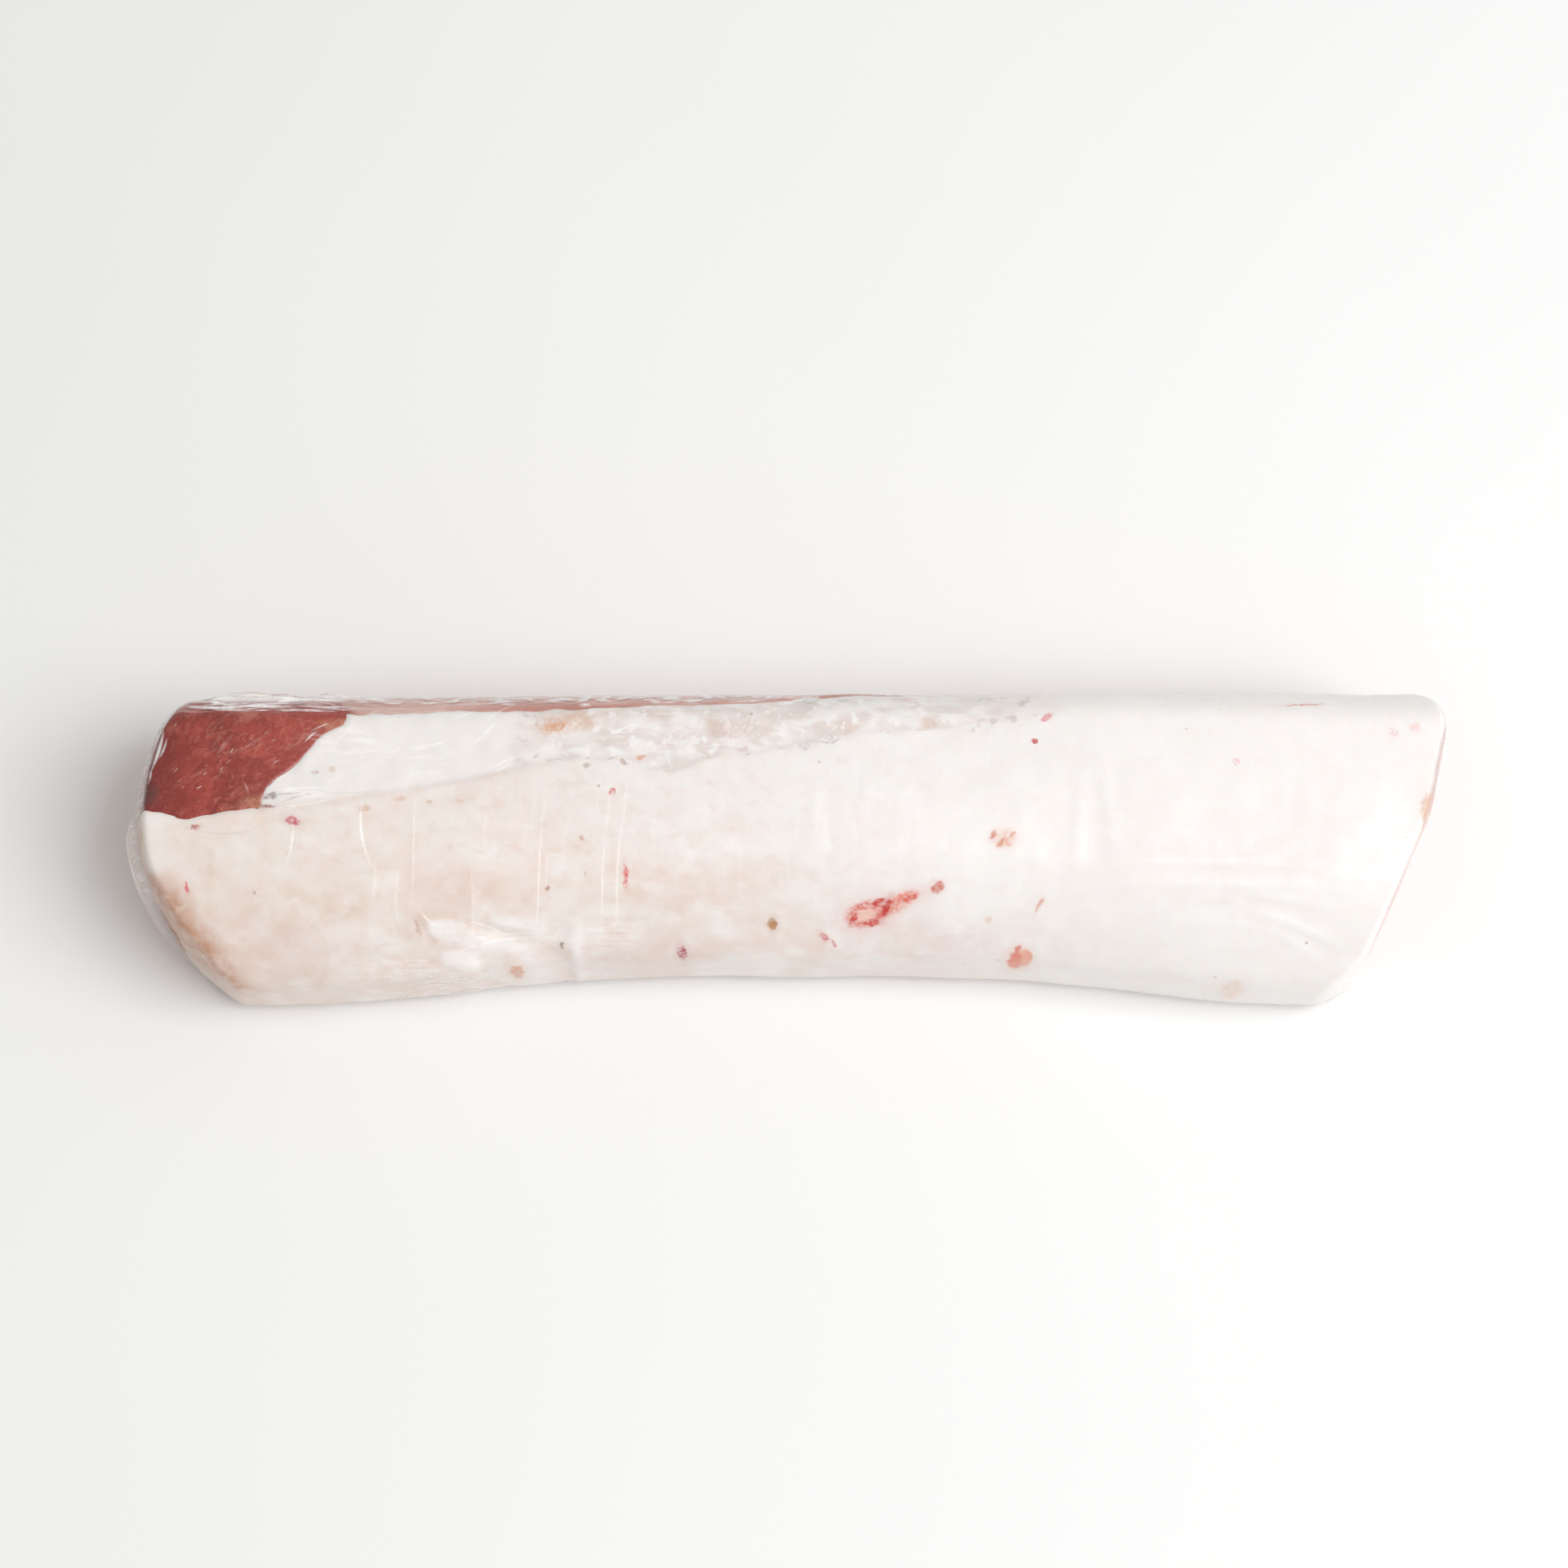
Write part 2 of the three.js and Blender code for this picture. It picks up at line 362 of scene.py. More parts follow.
@dataclass(frozen=True)
class MeatLayers:
    """How deep each layer lies under the plain form."""

    form: LoinForm
    fat_top: float = 0.013
    fat_near: float = 0.020
    near_turns: Span = (-1.4, -0.4)
    fat_lip: float = 0.08
    lip_rough: Rough = Rough(0.02, 0.012, 23.0)
    edge_ramp: float = 0.0036
    ragged: tuple[Rough, ...] = (Rough(0.0016, 0.017), Rough(0.0010, 0.006, 4.0))
    torn: tuple[Rough, ...] = (Rough(0.0060, 0.026, 9.0), Rough(0.0036, 0.008, 2.0))
    torn_from: Span = (-0.16, -0.10)
    wavy: Rough = Rough(0.0050, 0.030, 17.0)
    wavy_from: Span = (1.05, 1.2)
    far_rough: Rough = Rough(0.0015, 0.010, 41.0)
    near_edge: float = -1.98
    patch_depth: float = 0.0025
    patch_low: float = 0.003
    patch_dip: float = 0.0042
    patch_dip_at: float = -0.315
    patch_dip_spread: float = 0.014
    patch_fade: Span = (0.003, 0.009)
    patch_rough: Rough = Rough(0.0008, 0.010, 13.0)
    band_step: float = 0.0009
    band_width: float = 0.004
    band_end: Span = (0.07, 0.16)
    band_lumps: tuple[Rough, ...] = (Rough(0.0005, 0.008, 1.0), Rough(0.0006, 0.018, 7.0))
    bare_depth: float = 0.0008
    shoulder_depth: float = 0.0024
    shoulder_turns: Span = (1.5, 0.9)
    shoulder_end: Span = (-0.03, 0.05)
    upper: Span = (0.45, 0.75)
    fibre_run: Span = (0.45, 0.9)
    fibre_stretch: float = 5.0
    fibre_rough: Rough = Rough(0.0003, 0.006)
    lean_rough: Rough = Rough(0.0005, 0.02, 6.0)
    smooth_foot: Span = (0.004, 0.012)
    sink_start: float = 0.0004
    sink_lag: float = 0.005
    cut_depth: float = 0.0006
    cut_rough: Rough = Rough(0.0006, 0.013, 3.0)
    right_hollow: float = 0.0020
    hollow_gap: Span = (0.03, 0.0)
    bury: float = 0.0012
    fat_rest: float = 0.0012
    fat_proud: float = 0.0008
    fat_swell: Rough = Rough(0.0008, 0.045)
    fat_fine: Rough = Rough(0.00025, 0.014, 5.0)
    ripple: float = 0.00012
    ripple_size: tuple[float, float, float] = (0.006, 0.05, 0.05)
    rim_depth: float = 0.0004
    rim_rough: Rough = Rough(0.0004, 0.012, 8.0)

    def past_patch(self, x: float, y: float) -> float:
        """How far a place lies outside the bare patch at the left.

        Args:
            x: Place along the loin.
            y: Place across the loin.

        Returns:
            The distance, negative on the patch.
        """
        right = along_line(PATCH_EDGE, y / MM) * MM
        dip = math.exp(-(((x - self.patch_dip_at) / self.patch_dip_spread) ** 2))
        return max(x - right, self.patch_low - self.patch_dip * dip - y)

    def fat_thickness(self, turn: float) -> float:
        """Thickness of the full fat cap at a turn round the section."""
        return lerp(self.fat_near, self.fat_top, smoothstep(turn, *self.near_turns))

    def lay(self, site: Site) -> None:
        """Works out the cover and the depth of each layer at a site.

        Args:
            site: The site, whose layer values are filled in.
        """
        edge, turn, half = site.edge, site.turn, self.form.half
        ragged = sum(layer.at(edge) for layer in self.ragged)
        torn = sum(layer.at(edge) for layer in self.torn) * smoothstep(edge.x, *self.torn_from)
        wavy = self.wavy.at(edge) * smoothstep(turn, *self.wavy_from)
        patch_gap = self.past_patch(edge.x, edge.y) + ragged + self.patch_rough.at(edge)
        past = min(
            (along_line(FAR_EDGE, edge.x / MM) - turn) * half.y + ragged + wavy + self.far_rough.at(edge),
            (turn - self.near_edge) * half.z + ragged,
            patch_gap,
        )
        site.cover = smoothstep(past, -self.edge_ramp / 2, self.edge_ramp / 2)
        site.patch = 1 - smoothstep(patch_gap, *self.patch_fade)
        if abs(turn) < UNDERNEATH:
            gap = edge.y + torn - along_line(BAND_EDGE, edge.x / MM) * MM
            site.band = smoothstep(gap, -self.band_width / 2, self.band_width / 2)
            site.band *= 1 - smoothstep(edge.x + 2 * torn, *self.band_end)
        self._lay_lean(site, past)
        self._lay_fat(site)

    def _lay_lean(self, site: Site, past: float) -> None:
        """Works out the depth of the lean: bare, or under the fat cap.

        Args:
            site: The site, whose lean values are filled in.
            past: How far inside the fat cap's edge it lies.
        """
        spot = site.spot
        above = smoothstep(site.edge.z, *(self.form.height * share for share in self.upper))
        shoulder = smoothstep(site.turn, *self.shoulder_turns) if site.turn > 0 else 0.0
        shoulder *= 1 - smoothstep(site.edge.x, *self.shoulder_end)
        bare = lerp(self.bare_depth, self.shoulder_depth, shoulder * above)
        bare = lerp(bare, self.patch_depth, site.patch * above)
        run_x, run_y = self.fibre_run
        along = (spot.x * run_x + spot.y * run_y) / self.fibre_stretch
        fibre = Vector((along, spot.y * run_x - spot.x * run_y, spot.z))
        grain = self.fibre_rough.at(fibre) + self.lean_rough.at(spot)
        bare += grain * smoothstep(spot.z, *self.smooth_foot)
        bare *= smoothstep(site.edge.z, 0.0, self.form.base_round / 2)
        sunk = smoothstep(past, self.sink_start, self.sink_start + self.sink_lag)
        site.lean_in = lerp(bare, self.fat_thickness(site.turn), sunk)
        hollow = self.right_hollow * smoothstep(site.right_gap, *self.hollow_gap)
        site.lean_along = self.bare_depth + self.cut_depth + self.cut_rough.at(spot) + hollow

    def _lay_fat(self, site: Site) -> None:
        """Works out the depth of the fat cap's outer face, buried where the lean is bare.

        Args:
            site: The site, whose fat values are filled in.
        """
        spot = site.spot
        relief = self.fat_rest + self.fat_swell.at(spot) + self.fat_fine.at(spot)
        ripple = noise.noise(Vector([at / size for at, size in zip(spot, self.ripple_size)]))
        relief += self.ripple * ripple * (1 - site.band)
        lumps = sum(layer.at(spot) for layer in self.band_lumps)
        relief += self.band_step * site.band + lumps * site.band
        if abs(site.turn) < UNDERNEATH:
            site.crest = sum(fold.rise(spot.x / MM, spot.y / MM) for fold in FOLDS)
            relief -= MM * site.crest
        buried = site.lean_in + self.bury
        site.fat_in = lerp(buried, max(relief, -self.fat_proud), site.cover)
        radius = math.hypot(site.rim.y * self.form.half.y, site.rim.z * self.form.half.z)
        inner = 1 - self.fat_thickness(site.turn) / radius
        reach = (site.unit.y ** 4 + site.unit.z ** 4) ** 0.25 + self.lip_rough.at(spot)
        on_rim = site.cover * smoothstep(reach, inner - self.fat_lip, inner)
        site.fat_along = lerp(site.lean_along + self.bury, self.rim_depth + self.rim_rough.at(spot), on_rim)


@dataclass
class LoinSkin:
    """The grid of sites over the loin, and the meshes laid on it."""

    form: LoinForm
    layers: MeatLayers
    steps: tuple[int, int, int] = (320, 88, 40)
    crowding: float = 0.16

    def __post_init__(self) -> None:
        """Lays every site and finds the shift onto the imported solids."""
        grid = self.grid()
        self.sites = [self._site(vert.co) for vert in grid.verts]
        grid.free()
        for site in self.sites:
            self.layers.lay(site)
        self.shift = Vector((0, 0, 0))
        places = [self.place(site, site.lean_in, self.layers.bare_depth) for site in self.sites]
        low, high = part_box("lean")
        self.shift.x = low.x - min(place.x for place in places)
        breadth = [place.y for place in places]
        self.shift.y = (low.y + high.y - min(breadth) - max(breadth)) / 2

    def grid(self) -> bmesh.types.BMesh:
        """A cube whose faces are split into an even grid.

        Returns:
            The cube, -1 to 1 each way.
        """
        grid = bmesh.new()
        bmesh.ops.create_cube(grid, size=2.0)
        for axis, steps in enumerate(self.steps):
            edges = [e for e in grid.edges if abs(e.verts[0].co[axis] - e.verts[1].co[axis]) > 1e-4]
            bmesh.ops.subdivide_edges(grid, edges=edges, cuts=steps - 1, use_grid_fill=True)
        return grid

    def _site(self, even: Vector) -> Site:
        """The site that a point of the even grid becomes.

        Args:
            even: The point of the cube, -1 to 1 each way.

        Returns:
            The site, before its layers are laid.
        """
        unit = Vector([t * (1 + self.crowding) - self.crowding * t ** 3 for t in even])
        reach = max(abs(unit.y), abs(unit.z))
        rim = Vector((unit.x, unit.y / (reach or 1), unit.z / (reach or 1)))
        box = self.form.rounded(unit)
        start = 1 - self.form.end_round(unit.x) / self.form.half.x
        spot = self.form.bend(box)
        return Site(
            unit=unit,
            rim=rim,
            reach=reach,
            box=box,
            spot=spot,
            edge=self.form.bend(self.form.rounded(rim)),
            turn=self._turn(rim),
            end_share=smoothstep(abs(unit.x), start, 1.0),
            left_gap=spot.x - self.form.left_end(box.y / self.form.half.y),
            right_gap=self.form.right_end(box.y / self.form.half.y) - spot.x,
        )

    @staticmethod
    def _turn(rim: Vector) -> float:
        """How far round the section a point of its rim lies.

        Args:
            rim: The point, -1 to 1 each way.

        Returns:
            -1 and 1 at the top's edges, 2 at the far foot, 3 underneath.
        """
        if rim.z > 0.9999:
            return rim.y
        if rim.y < -0.9999:
            return -1 - (1 - rim.z) / 2
        if rim.y > 0.9999:
            return 1 + (1 - rim.z) / 2
        return 3.0

    def place(self, site: Site, inwards: float, along: float) -> Vector:
        """A site's point on the loin, sunk by a depth.

        Args:
            site: The site.
            inwards: Depth towards the loin's axis.
            along: Depth along the loin, at its ends.

        Returns:
            The point in the row frame.
        """
        across = Vector((0, -site.box.y, -site.box.z))
        if across.length > 1e-9:
            across *= inwards * site.reach / across.length
        across.x = site.end_share * (along if site.unit.x < 0 else -along)
        return self.form.bend(site.box + across) + self.shift


def finish_piece(name: str, mesh: bmesh.types.BMesh, material: bpy.types.Material) -> bpy.types.Object:
    """Turns a bmesh into a smooth-shaded object at the origin.

    Args:
        name: The piece's name.
        mesh: The bmesh, freed here.
        material: Its finish.

    Returns:
        The object, linked to the scene.
    """
    data = bpy.data.meshes.new(name)
    mesh.to_mesh(data)
    mesh.free()
    data.shade_smooth()
    data.materials.append(material)
    piece = bpy.data.objects.new(name, data)
    bpy.context.scene.collection.objects.link(piece)
    return piece


def float_layers(mesh: bmesh.types.BMesh, *names: str) -> list[bmesh.types.BMLayerItem]:
    """Adds values to a bmesh's points.

    Args:
        mesh: The bmesh.
        *names: The values' names.

    Returns:
        Their layers, in the order of the names.
    """
    for name in names:
        mesh.verts.layers.float.new(name)
    return [mesh.verts.layers.float[name] for name in names]


class Recipe:
    """Adds nodes to one node tree and links them."""

    def __init__(self, tree: bpy.types.NodeTree) -> None:
        """Starts on an empty tree."""
        self.tree = tree
        tree.nodes.clear()

    def feed(self, socket: Socket, value: Feed) -> None:
        """Links a socket into another, or sets its value.

        Args:
            socket: The socket that is fed.
            value: What feeds it.
        """
        if isinstance(value, Socket):
            self.tree.links.new(value, socket)
        else:
            socket.default_value = value

    def add(self, kind: str, feeds: Optional[dict] = None, **settings: object) -> bpy.types.Node:
        """Adds one node.

        Args:
            kind: The node's type name.
            feeds: Socket name or number to what feeds it.
            **settings: The node's own settings.

        Returns:
            The node.
        """
        node = self.tree.nodes.new(kind)
        for name, value in settings.items():
            setattr(node, name, value)
        for key, value in (feeds or {}).items():
            self.feed(node.inputs[key], value)
        return node

    def math(self, operation: str, first: Feed, second: Feed = 0.0, clamp: bool = False) -> Socket:
        """A sum on two values."""
        feeds = {0: first, 1: second}
        return self.add("ShaderNodeMath", feeds, operation=operation, use_clamp=clamp).outputs[0]

    def times(self, first: Feed, *more: Feed) -> Feed:
        """Values multiplied together.

        Args:
            first: The first value.
            *more: The others.

        Returns:
            Their product.
        """
        for value in more:
            first = self.math("MULTIPLY", first, value)
        return first

    def off(self, value: Feed, middle: float) -> Socket:
        """How far a value lies from a middle one, either way."""
        return self.math("ABSOLUTE", self.math("SUBTRACT", value, middle))

    def vector(self, operation: str, first: Feed, second: Feed = (0, 0, 0)) -> Socket:
        """A sum on two vectors, giving a vector."""
        return self.add("ShaderNodeVectorMath", {0: first, 1: second}, operation=operation).outputs[0]

    def ramp(self, value: Feed, low: float, high: float, bottom: float = 0.0, top: Feed = 1.0) -> Socket:
        """A soft step of a value from bottom to top."""
        feeds = {"Value": value, "From Min": low, "From Max": high, "To Min": bottom, "To Max": top}
        return self.add("ShaderNodeMapRange", feeds, interpolation_type="SMOOTHSTEP").outputs[0]

    def mix(self, share: Feed, low: Feed, high: Feed) -> Socket:
        """Two colours mixed."""
        return self.add("ShaderNodeMix", {0: share, 6: low, 7: high}, data_type="RGBA").outputs[2]

    def over(self, colour: Feed, tint: Feed, *shares: Feed) -> Socket:
        """A colour with a tint laid over it, as strong as some shares multiplied."""
        return self.mix(self.times(*shares), colour, tint)

    def noise(self, place: Feed, size: float, detail: float = 2.0, twist: float = 0.0) -> Socket:
        """Noise whose swellings are a size across, in metres."""
        feeds = {"Vector": place, "Scale": 1 / size, "Detail": detail, "Distortion": twist}
        return self.add("ShaderNodeTexNoise", feeds).outputs["Fac"]

    def turned(self, place: Feed, turn: Feed) -> Socket:
        """A place turned about the upright, in radians."""
        feeds = {"Vector": place, "Angle": turn}
        return self.add("ShaderNodeVectorRotate", feeds, rotation_type="Z_AXIS").outputs[0]

    def streaks(self, place: Feed, turn: float, scale: tuple[float, float, float], size: float,
                detail: float, twist: float) -> Socket:
        """Noise on a place turned about the upright and scaled, for stretched patterns."""
        return self.noise(self.vector("MULTIPLY", self.turned(place, turn), scale), size, detail, twist)

    def attribute(self, name: str) -> Socket:
        """A value stored on the mesh."""
        return self.add("ShaderNodeAttribute", attribute_name=name).outputs["Fac"]

    def here(self) -> Socket:
        """The place on the piece, in metres."""
        return self.add("ShaderNodeTexCoord").outputs["Object"]

    def length(self, place: Feed) -> Socket:
        """The length of a vector."""
        return self.add("ShaderNodeVectorMath", {0: place}, operation="LENGTH").outputs["Value"]

    def axes(self, place: Feed) -> tuple[Socket, Socket]:
        """A place's x and y."""
        split = self.add("ShaderNodeSeparateXYZ", {0: place}).outputs
        return split["X"], split["Y"]

    def use_group(self, name: str, feeds: dict) -> Outputs:
        """The outputs of a node group, fed by the names of its inputs."""
        return self.add("ShaderNodeGroup", feeds, node_tree=bpy.data.node_groups[name]).outputs

    def bump(self, height: Feed, strength: float) -> Socket:
        """A normal tilted by a height."""
        feeds = {"Height": height, "Strength": strength, "Distance": BUMP_DEPTH}
        return self.add("ShaderNodeBump", feeds).outputs[0]

    def surface(self, feeds: dict) -> None:
        """Ends a material on a Principled shader, fed by the names of its inputs."""
        shader = self.add("ShaderNodeBsdfPrincipled", feeds)
        self.add("ShaderNodeOutputMaterial", {"Surface": shader.outputs[0]})


def new_material(name: str) -> tuple[bpy.types.Material, Recipe]:
    """A new material and the recipe for its nodes.

    Args:
        name: The material's name.

    Returns:
        The material and its recipe.
    """
    material = bpy.data.materials.new(name)
    material.use_nodes = True
    return material, Recipe(material.node_tree)


def group(name: str, inputs: dict[str, str], outputs: tuple[str, ...]) -> tuple[Recipe, dict, dict]:
    """A new shader node group, used by its name from then on.

    Args:
        name: The group's name.
        inputs: Socket name to kind, Float or Vector.
        outputs: The names of the values that it gives.

    Returns:
        Its recipe, its input sockets and its output sockets by name.
    """
    tree = bpy.data.node_groups.new(name, "ShaderNodeTree")
    for label, kind in inputs.items():
        tree.interface.new_socket(label, in_out="INPUT", socket_type=f"NodeSocket{kind}")
    for label in outputs:
        tree.interface.new_socket(label, in_out="OUTPUT", socket_type="NodeSocketFloat")
    recipe = Recipe(tree)
    start = recipe.add("NodeGroupInput")
    end = recipe.add("NodeGroupOutput")
    return recipe, {s.name: s for s in start.outputs}, {s.name: s for s in end.inputs}


def blemish_group() -> None:
    """Makes the mask of one blemish: a ragged patch round a centre, with a soft halo."""
    recipe, given, made = group(
        "blemish",
        {"Place": "Vector", "Centre": "Vector", "Angle": "Float", "Size": "Vector", "Strength": "Float",
         "Glow": "Float"},
        ("Core", "Halo"),
    )
    offset = recipe.vector("SUBTRACT", given["Place"], given["Centre"])
    turned = recipe.turned(offset, given["Angle"])
    far = recipe.length(recipe.vector("DIVIDE", turned, given["Size"]))
    recipe.feed(made["Core"], recipe.ramp(far, 1.05, 0.6, 0.0, given["Strength"]))
    recipe.feed(made["Halo"], recipe.ramp(far, 2.1, 0.7, 0.0, given["Glow"]))


def moist_group() -> None:
    """Makes the uneven wet surface of meat under film: broad patches, fine grain, gloss and height."""
    outputs = ("Patches", "Grain", "Roughness", "Height")
    recipe, given, made = group("moist", {"Place": "Vector", "Gloss": "Float"}, outputs)
    broad = recipe.noise(given["Place"], 0.040, 3.0, 0.6)
    middle = recipe.noise(given["Place"], 0.012, 3.0, 0.4)
    fine = recipe.noise(given["Place"], 0.0028, 2.0)
    recipe.feed(made["Patches"], recipe.ramp(broad, 0.38, 0.66))
    recipe.feed(made["Grain"], recipe.ramp(middle, 0.36, 0.68))
    recipe.feed(made["Roughness"], recipe.math("ADD", recipe.times(middle, 0.25), given["Gloss"]))
    recipe.feed(made["Height"], recipe.math("ADD", recipe.times(fine, 0.25), middle))


@dataclass(frozen=True)
class Blemish:
    """A mark on the fat: where it lies in millimetres, how large, how it is turned, and its colour."""

    x: float
    y: float
    z: float
    length: float
    width: float
    angle: float
    tint: tuple[int, int, int]
    strength: float = 0.9
    broken: float = 0.4


@dataclass(frozen=True)
class Zone:
    """A soft-edged patch of the plan, in millimetres, and how strong it is at its middle."""

    x: float
    y: float
    length: float
    width: float
    strength: float

    def share(self, site: Site) -> float:
        """How strong the patch is at a site.

        Args:
            site: The site.

        Returns:
            Its strength there, 0 outside it and underneath.
        """
        if abs(site.turn) > UNDERNEATH:
            return 0.0
        x, y = site.spot.x / MM - self.x, site.spot.y / MM - self.y
        far = math.hypot(2 * x / self.length, 2 * y / self.width)
        return self.strength * smoothstep(far, 1.0, ZONE_CORE)


WASHES = (
    Zone(-60, -36, 90, 34, 0.45),
    Zone(-18, -30, 70, 26, 0.35),
    Zone(-170, -36, 130, 30, 0.50),
    Zone(-240, -44, 90, 34, 0.40),
    Zone(-130, -10, 90, 30, 0.20),
)

ROSY = (
    Zone(66, -57, 170, 20, 0.40),
    Zone(-90, -64, 150, 20, 0.40),
    Zone(150, -62, 70, 18, 0.10),
    Zone(-250, -66, 110, 24, 0.30),
    Zone(215, -18, 270, 80, 0.13),
)

# Patches of the plan painted lighter as highlights on the pads; they reach only the fat's colour, through its
# crest value
PAD_HIGHLIGHTS = (
    Zone(-180, -55, 38, 12, 1.0),
    Zone(-150, -60, 62, 12, 0.9),
    Zone(-128, -57, 26, 14, 0.7),
    Zone(-172, -66, 40, 9, 0.8),
)

MARK_REACH = 18.0
HALO_SHARE = 0.16
HALO_FROM = 6.0

BLEMISHES = (
    Blemish(-117, 49, 101, 36, 13, 8, (220, 172, 136), 0.40, 0.7),
    Blemish(112, -13, 99, 15, 11, 30, (232, 184, 162), 0.45, 0.7),
    Blemish(-257.3, -3.8, 101.2, 9, 6, -20, (204, 88, 104), 0.9, 0.7),
    Blemish(-308.0, -7.3, 98.3, 6, 3, 10, (188, 100, 100), 0.8, 0.7),
    Blemish(-312.1, -37.8, 91.5, 2.4, 6, 15, (226, 104, 116)),
    Blemish(-92.0, 11.8, 102.5, 4.5, 4, 0, (216, 108, 112), 0.9, 0.8),
    Blemish(-84.7, -31.0, 91.5, 2.6, 13, 0, (222, 104, 96), 0.9, 0.7),
    Blemish(-125.5, -37.0, 90.3, 3.6, 3, 0, (176, 118, 84), 0.7),
    Blemish(-107.0, -13.0, 99.0, 2.5, 3, 0, (214, 150, 140), 0.6),
    Blemish(-106.0, -30.0, 92.0, 2.0, 3.4, 0, (186, 140, 112), 0.6),
    Blemish(-8.3, -50.7, 70.5, 6.2, 6, 0, (182, 126, 66), 0.92, 0.3),
    Blemish(-55.8, -61.2, 53.0, 6.4, 5.4, -30, (178, 62, 84), 0.9, 0.7),
    Blemish(-143.6, -68.6, 38.0, 9, 6, 0, (214, 130, 78), 0.85, 0.5),
    Blemish(41.0, -46.8, 75.5, 27, 12.5, 10, (216, 84, 72), 0.9, 0.6),
    Blemish(39.5, -47.3, 75.0, 16, 6, 10, (244, 208, 192), 0.95, 0.5),
    Blemish(58.0, -42.2, 81.5, 23, 7.5, 24, (232, 128, 104), 0.85, 0.7),
    Blemish(51.0, -44.4, 79.0, 4, 10.5, -28, (196, 36, 34), 0.95, 0.3),
    Blemish(34.0, -48.8, 73.5, 6, 3, 40, (204, 50, 44), 0.9, 0.4),
    Blemish(46.5, -41.8, 80.8, 9, 2.6, 15, (206, 56, 50), 0.9, 0.5),
    Blemish(43.0, -50.4, 72.0, 10, 2.6, 5, (206, 60, 52), 0.85, 0.5),
    Blemish(63.5, -40.4, 83.6, 10, 2.6, 18, (222, 100, 84), 0.85, 0.5),
    Blemish(18.7, -55.7, 63.3, 7, 2.2, -20, (208, 92, 92), 0.75),
    Blemish(23.9, -57.9, 59.0, 5, 2.2, -40, (202, 84, 84), 0.75),
    Blemish(77.5, -35.8, 88.1, 8, 5.5, 20, (208, 106, 88), 0.9, 0.3),
    Blemish(106.0, -10.9, 99.8, 3.6, 7, -25, (206, 118, 88), 0.8),
    Blemish(113.5, -14.5, 98.7, 9, 6, 30, (232, 176, 152), 0.6, 0.7),
    Blemish(109.5, -15.5, 98.4, 3, 6, -30, (214, 140, 110), 0.7, 0.5),
    Blemish(116.5, -11.0, 99.4, 5, 2.4, 35, (222, 156, 130), 0.6, 0.5),
    Blemish(119.6, -64.2, 46.0, 10, 9, 30, (226, 122, 92), 0.95, 0.1),
    Blemish(125.0, -63.0, 48.0, 8, 7, -20, (234, 158, 126), 0.9, 0.2),
    Blemish(120.5, -60.4, 51.0, 5, 4, 40, (218, 104, 84), 0.85, 0.3),
    Blemish(128.7, 38.9, 104.4, 3.6, 5, 0, (206, 66, 84), 0.9, 0.3),
    Blemish(135.0, 51.8, 103.6, 7, 3, 30, (228, 136, 146), 0.8),
    Blemish(130.4, -43.9, 82.9, 2.6, 8, -35, (222, 158, 140), 0.7),
    Blemish(104.0, -50.0, 78.0, 5, 4, 0, (230, 182, 160), 0.6),
    Blemish(233.1, 27.1, 106.0, 5, 3.6, 30, (236, 172, 172), 0.6, 0.7),
    Blemish(315.9, 43.1, 105.4, 6, 6, 0, (234, 188, 182), 0.55, 0.7),
    Blemish(327.3, 45.7, 104.3, 7, 7, 20, (238, 202, 196), 0.55, 0.7),
    Blemish(235.2, -75.9, 33.0, 16, 6, 0, (232, 194, 168), 0.6, 0.6),
    Blemish(270.0, 59.8, 102.5, 24, 1.6, 4, (216, 146, 136), 0.75),
    Blemish(332.0, 2.5, 95.0, 10, 20, -14, (214, 178, 154), 0.95, 0.3),
    Blemish(-28.0, 46.5, 102.6, 36, 15, 8, (216, 194, 184), 0.55, 0.7),
    Blemish(-118.5, -59.5, 62.0, 2.4, 2.6, 0, (140, 116, 96), 0.75, 0.3),
    Blemish(-193.0, -55.0, 78.0, 2.6, 8, 24, (186, 146, 118), 0.65, 0.5),
    Blemish(-122.5, 47.5, 101.0, 15, 6, 5, (222, 160, 118), 0.7, 0.5),
    Blemish(-86.0, 27.5, 103.0, 5, 3.4, -30, (196, 170, 160), 0.8, 0.5),
    Blemish(-105.0, 26.0, 103.0, 4.4, 3.6, 0, (200, 178, 166), 0.75, 0.5),
    Blemish(-77.0, 30.0, 103.0, 6, 3, 20, (226, 160, 128), 0.7, 0.5),
    Blemish(-24.0, 34.0, 104.0, 7, 4, 10, (212, 192, 182), 0.7, 0.6),
    Blemish(8.0, 36.0, 103.0, 8, 6, 10, (210, 196, 196), 0.7, 0.6),
    Blemish(21.0, 41.0, 103.0, 6, 6, 0, (212, 198, 200), 0.6, 0.6),
    Blemish(-220.0, 2.8, 101.7, 7, 3.4, 0, (222, 178, 148), 0.7, 0.6),
    Blemish(-269.5, 9.4, 101.0, 8, 4.5, 12, (150, 132, 126), 0.75, 0.6),
    Blemish(-271.0, 4.0, 101.0, 9, 2.6, 0, (158, 72, 70), 0.8, 0.5),
    Blemish(-247.0, 22.0, 101.0, 5, 2.6, 25, (206, 180, 172), 0.7, 0.5),
    Blemish(-238.0, 24.0, 101.0, 4, 4, 0, (222, 192, 172), 0.6, 0.5),
    Blemish(-202.0, 8.0, 101.0, 7, 3, 10, (226, 188, 164), 0.6, 0.6),
    Blemish(-187.0, 6.0, 101.0, 4, 3, 0, (214, 168, 150), 0.6, 0.6),
    Blemish(-171.0, 7.0, 101.0, 6, 3, 0, (228, 194, 176), 0.6, 0.6),
)


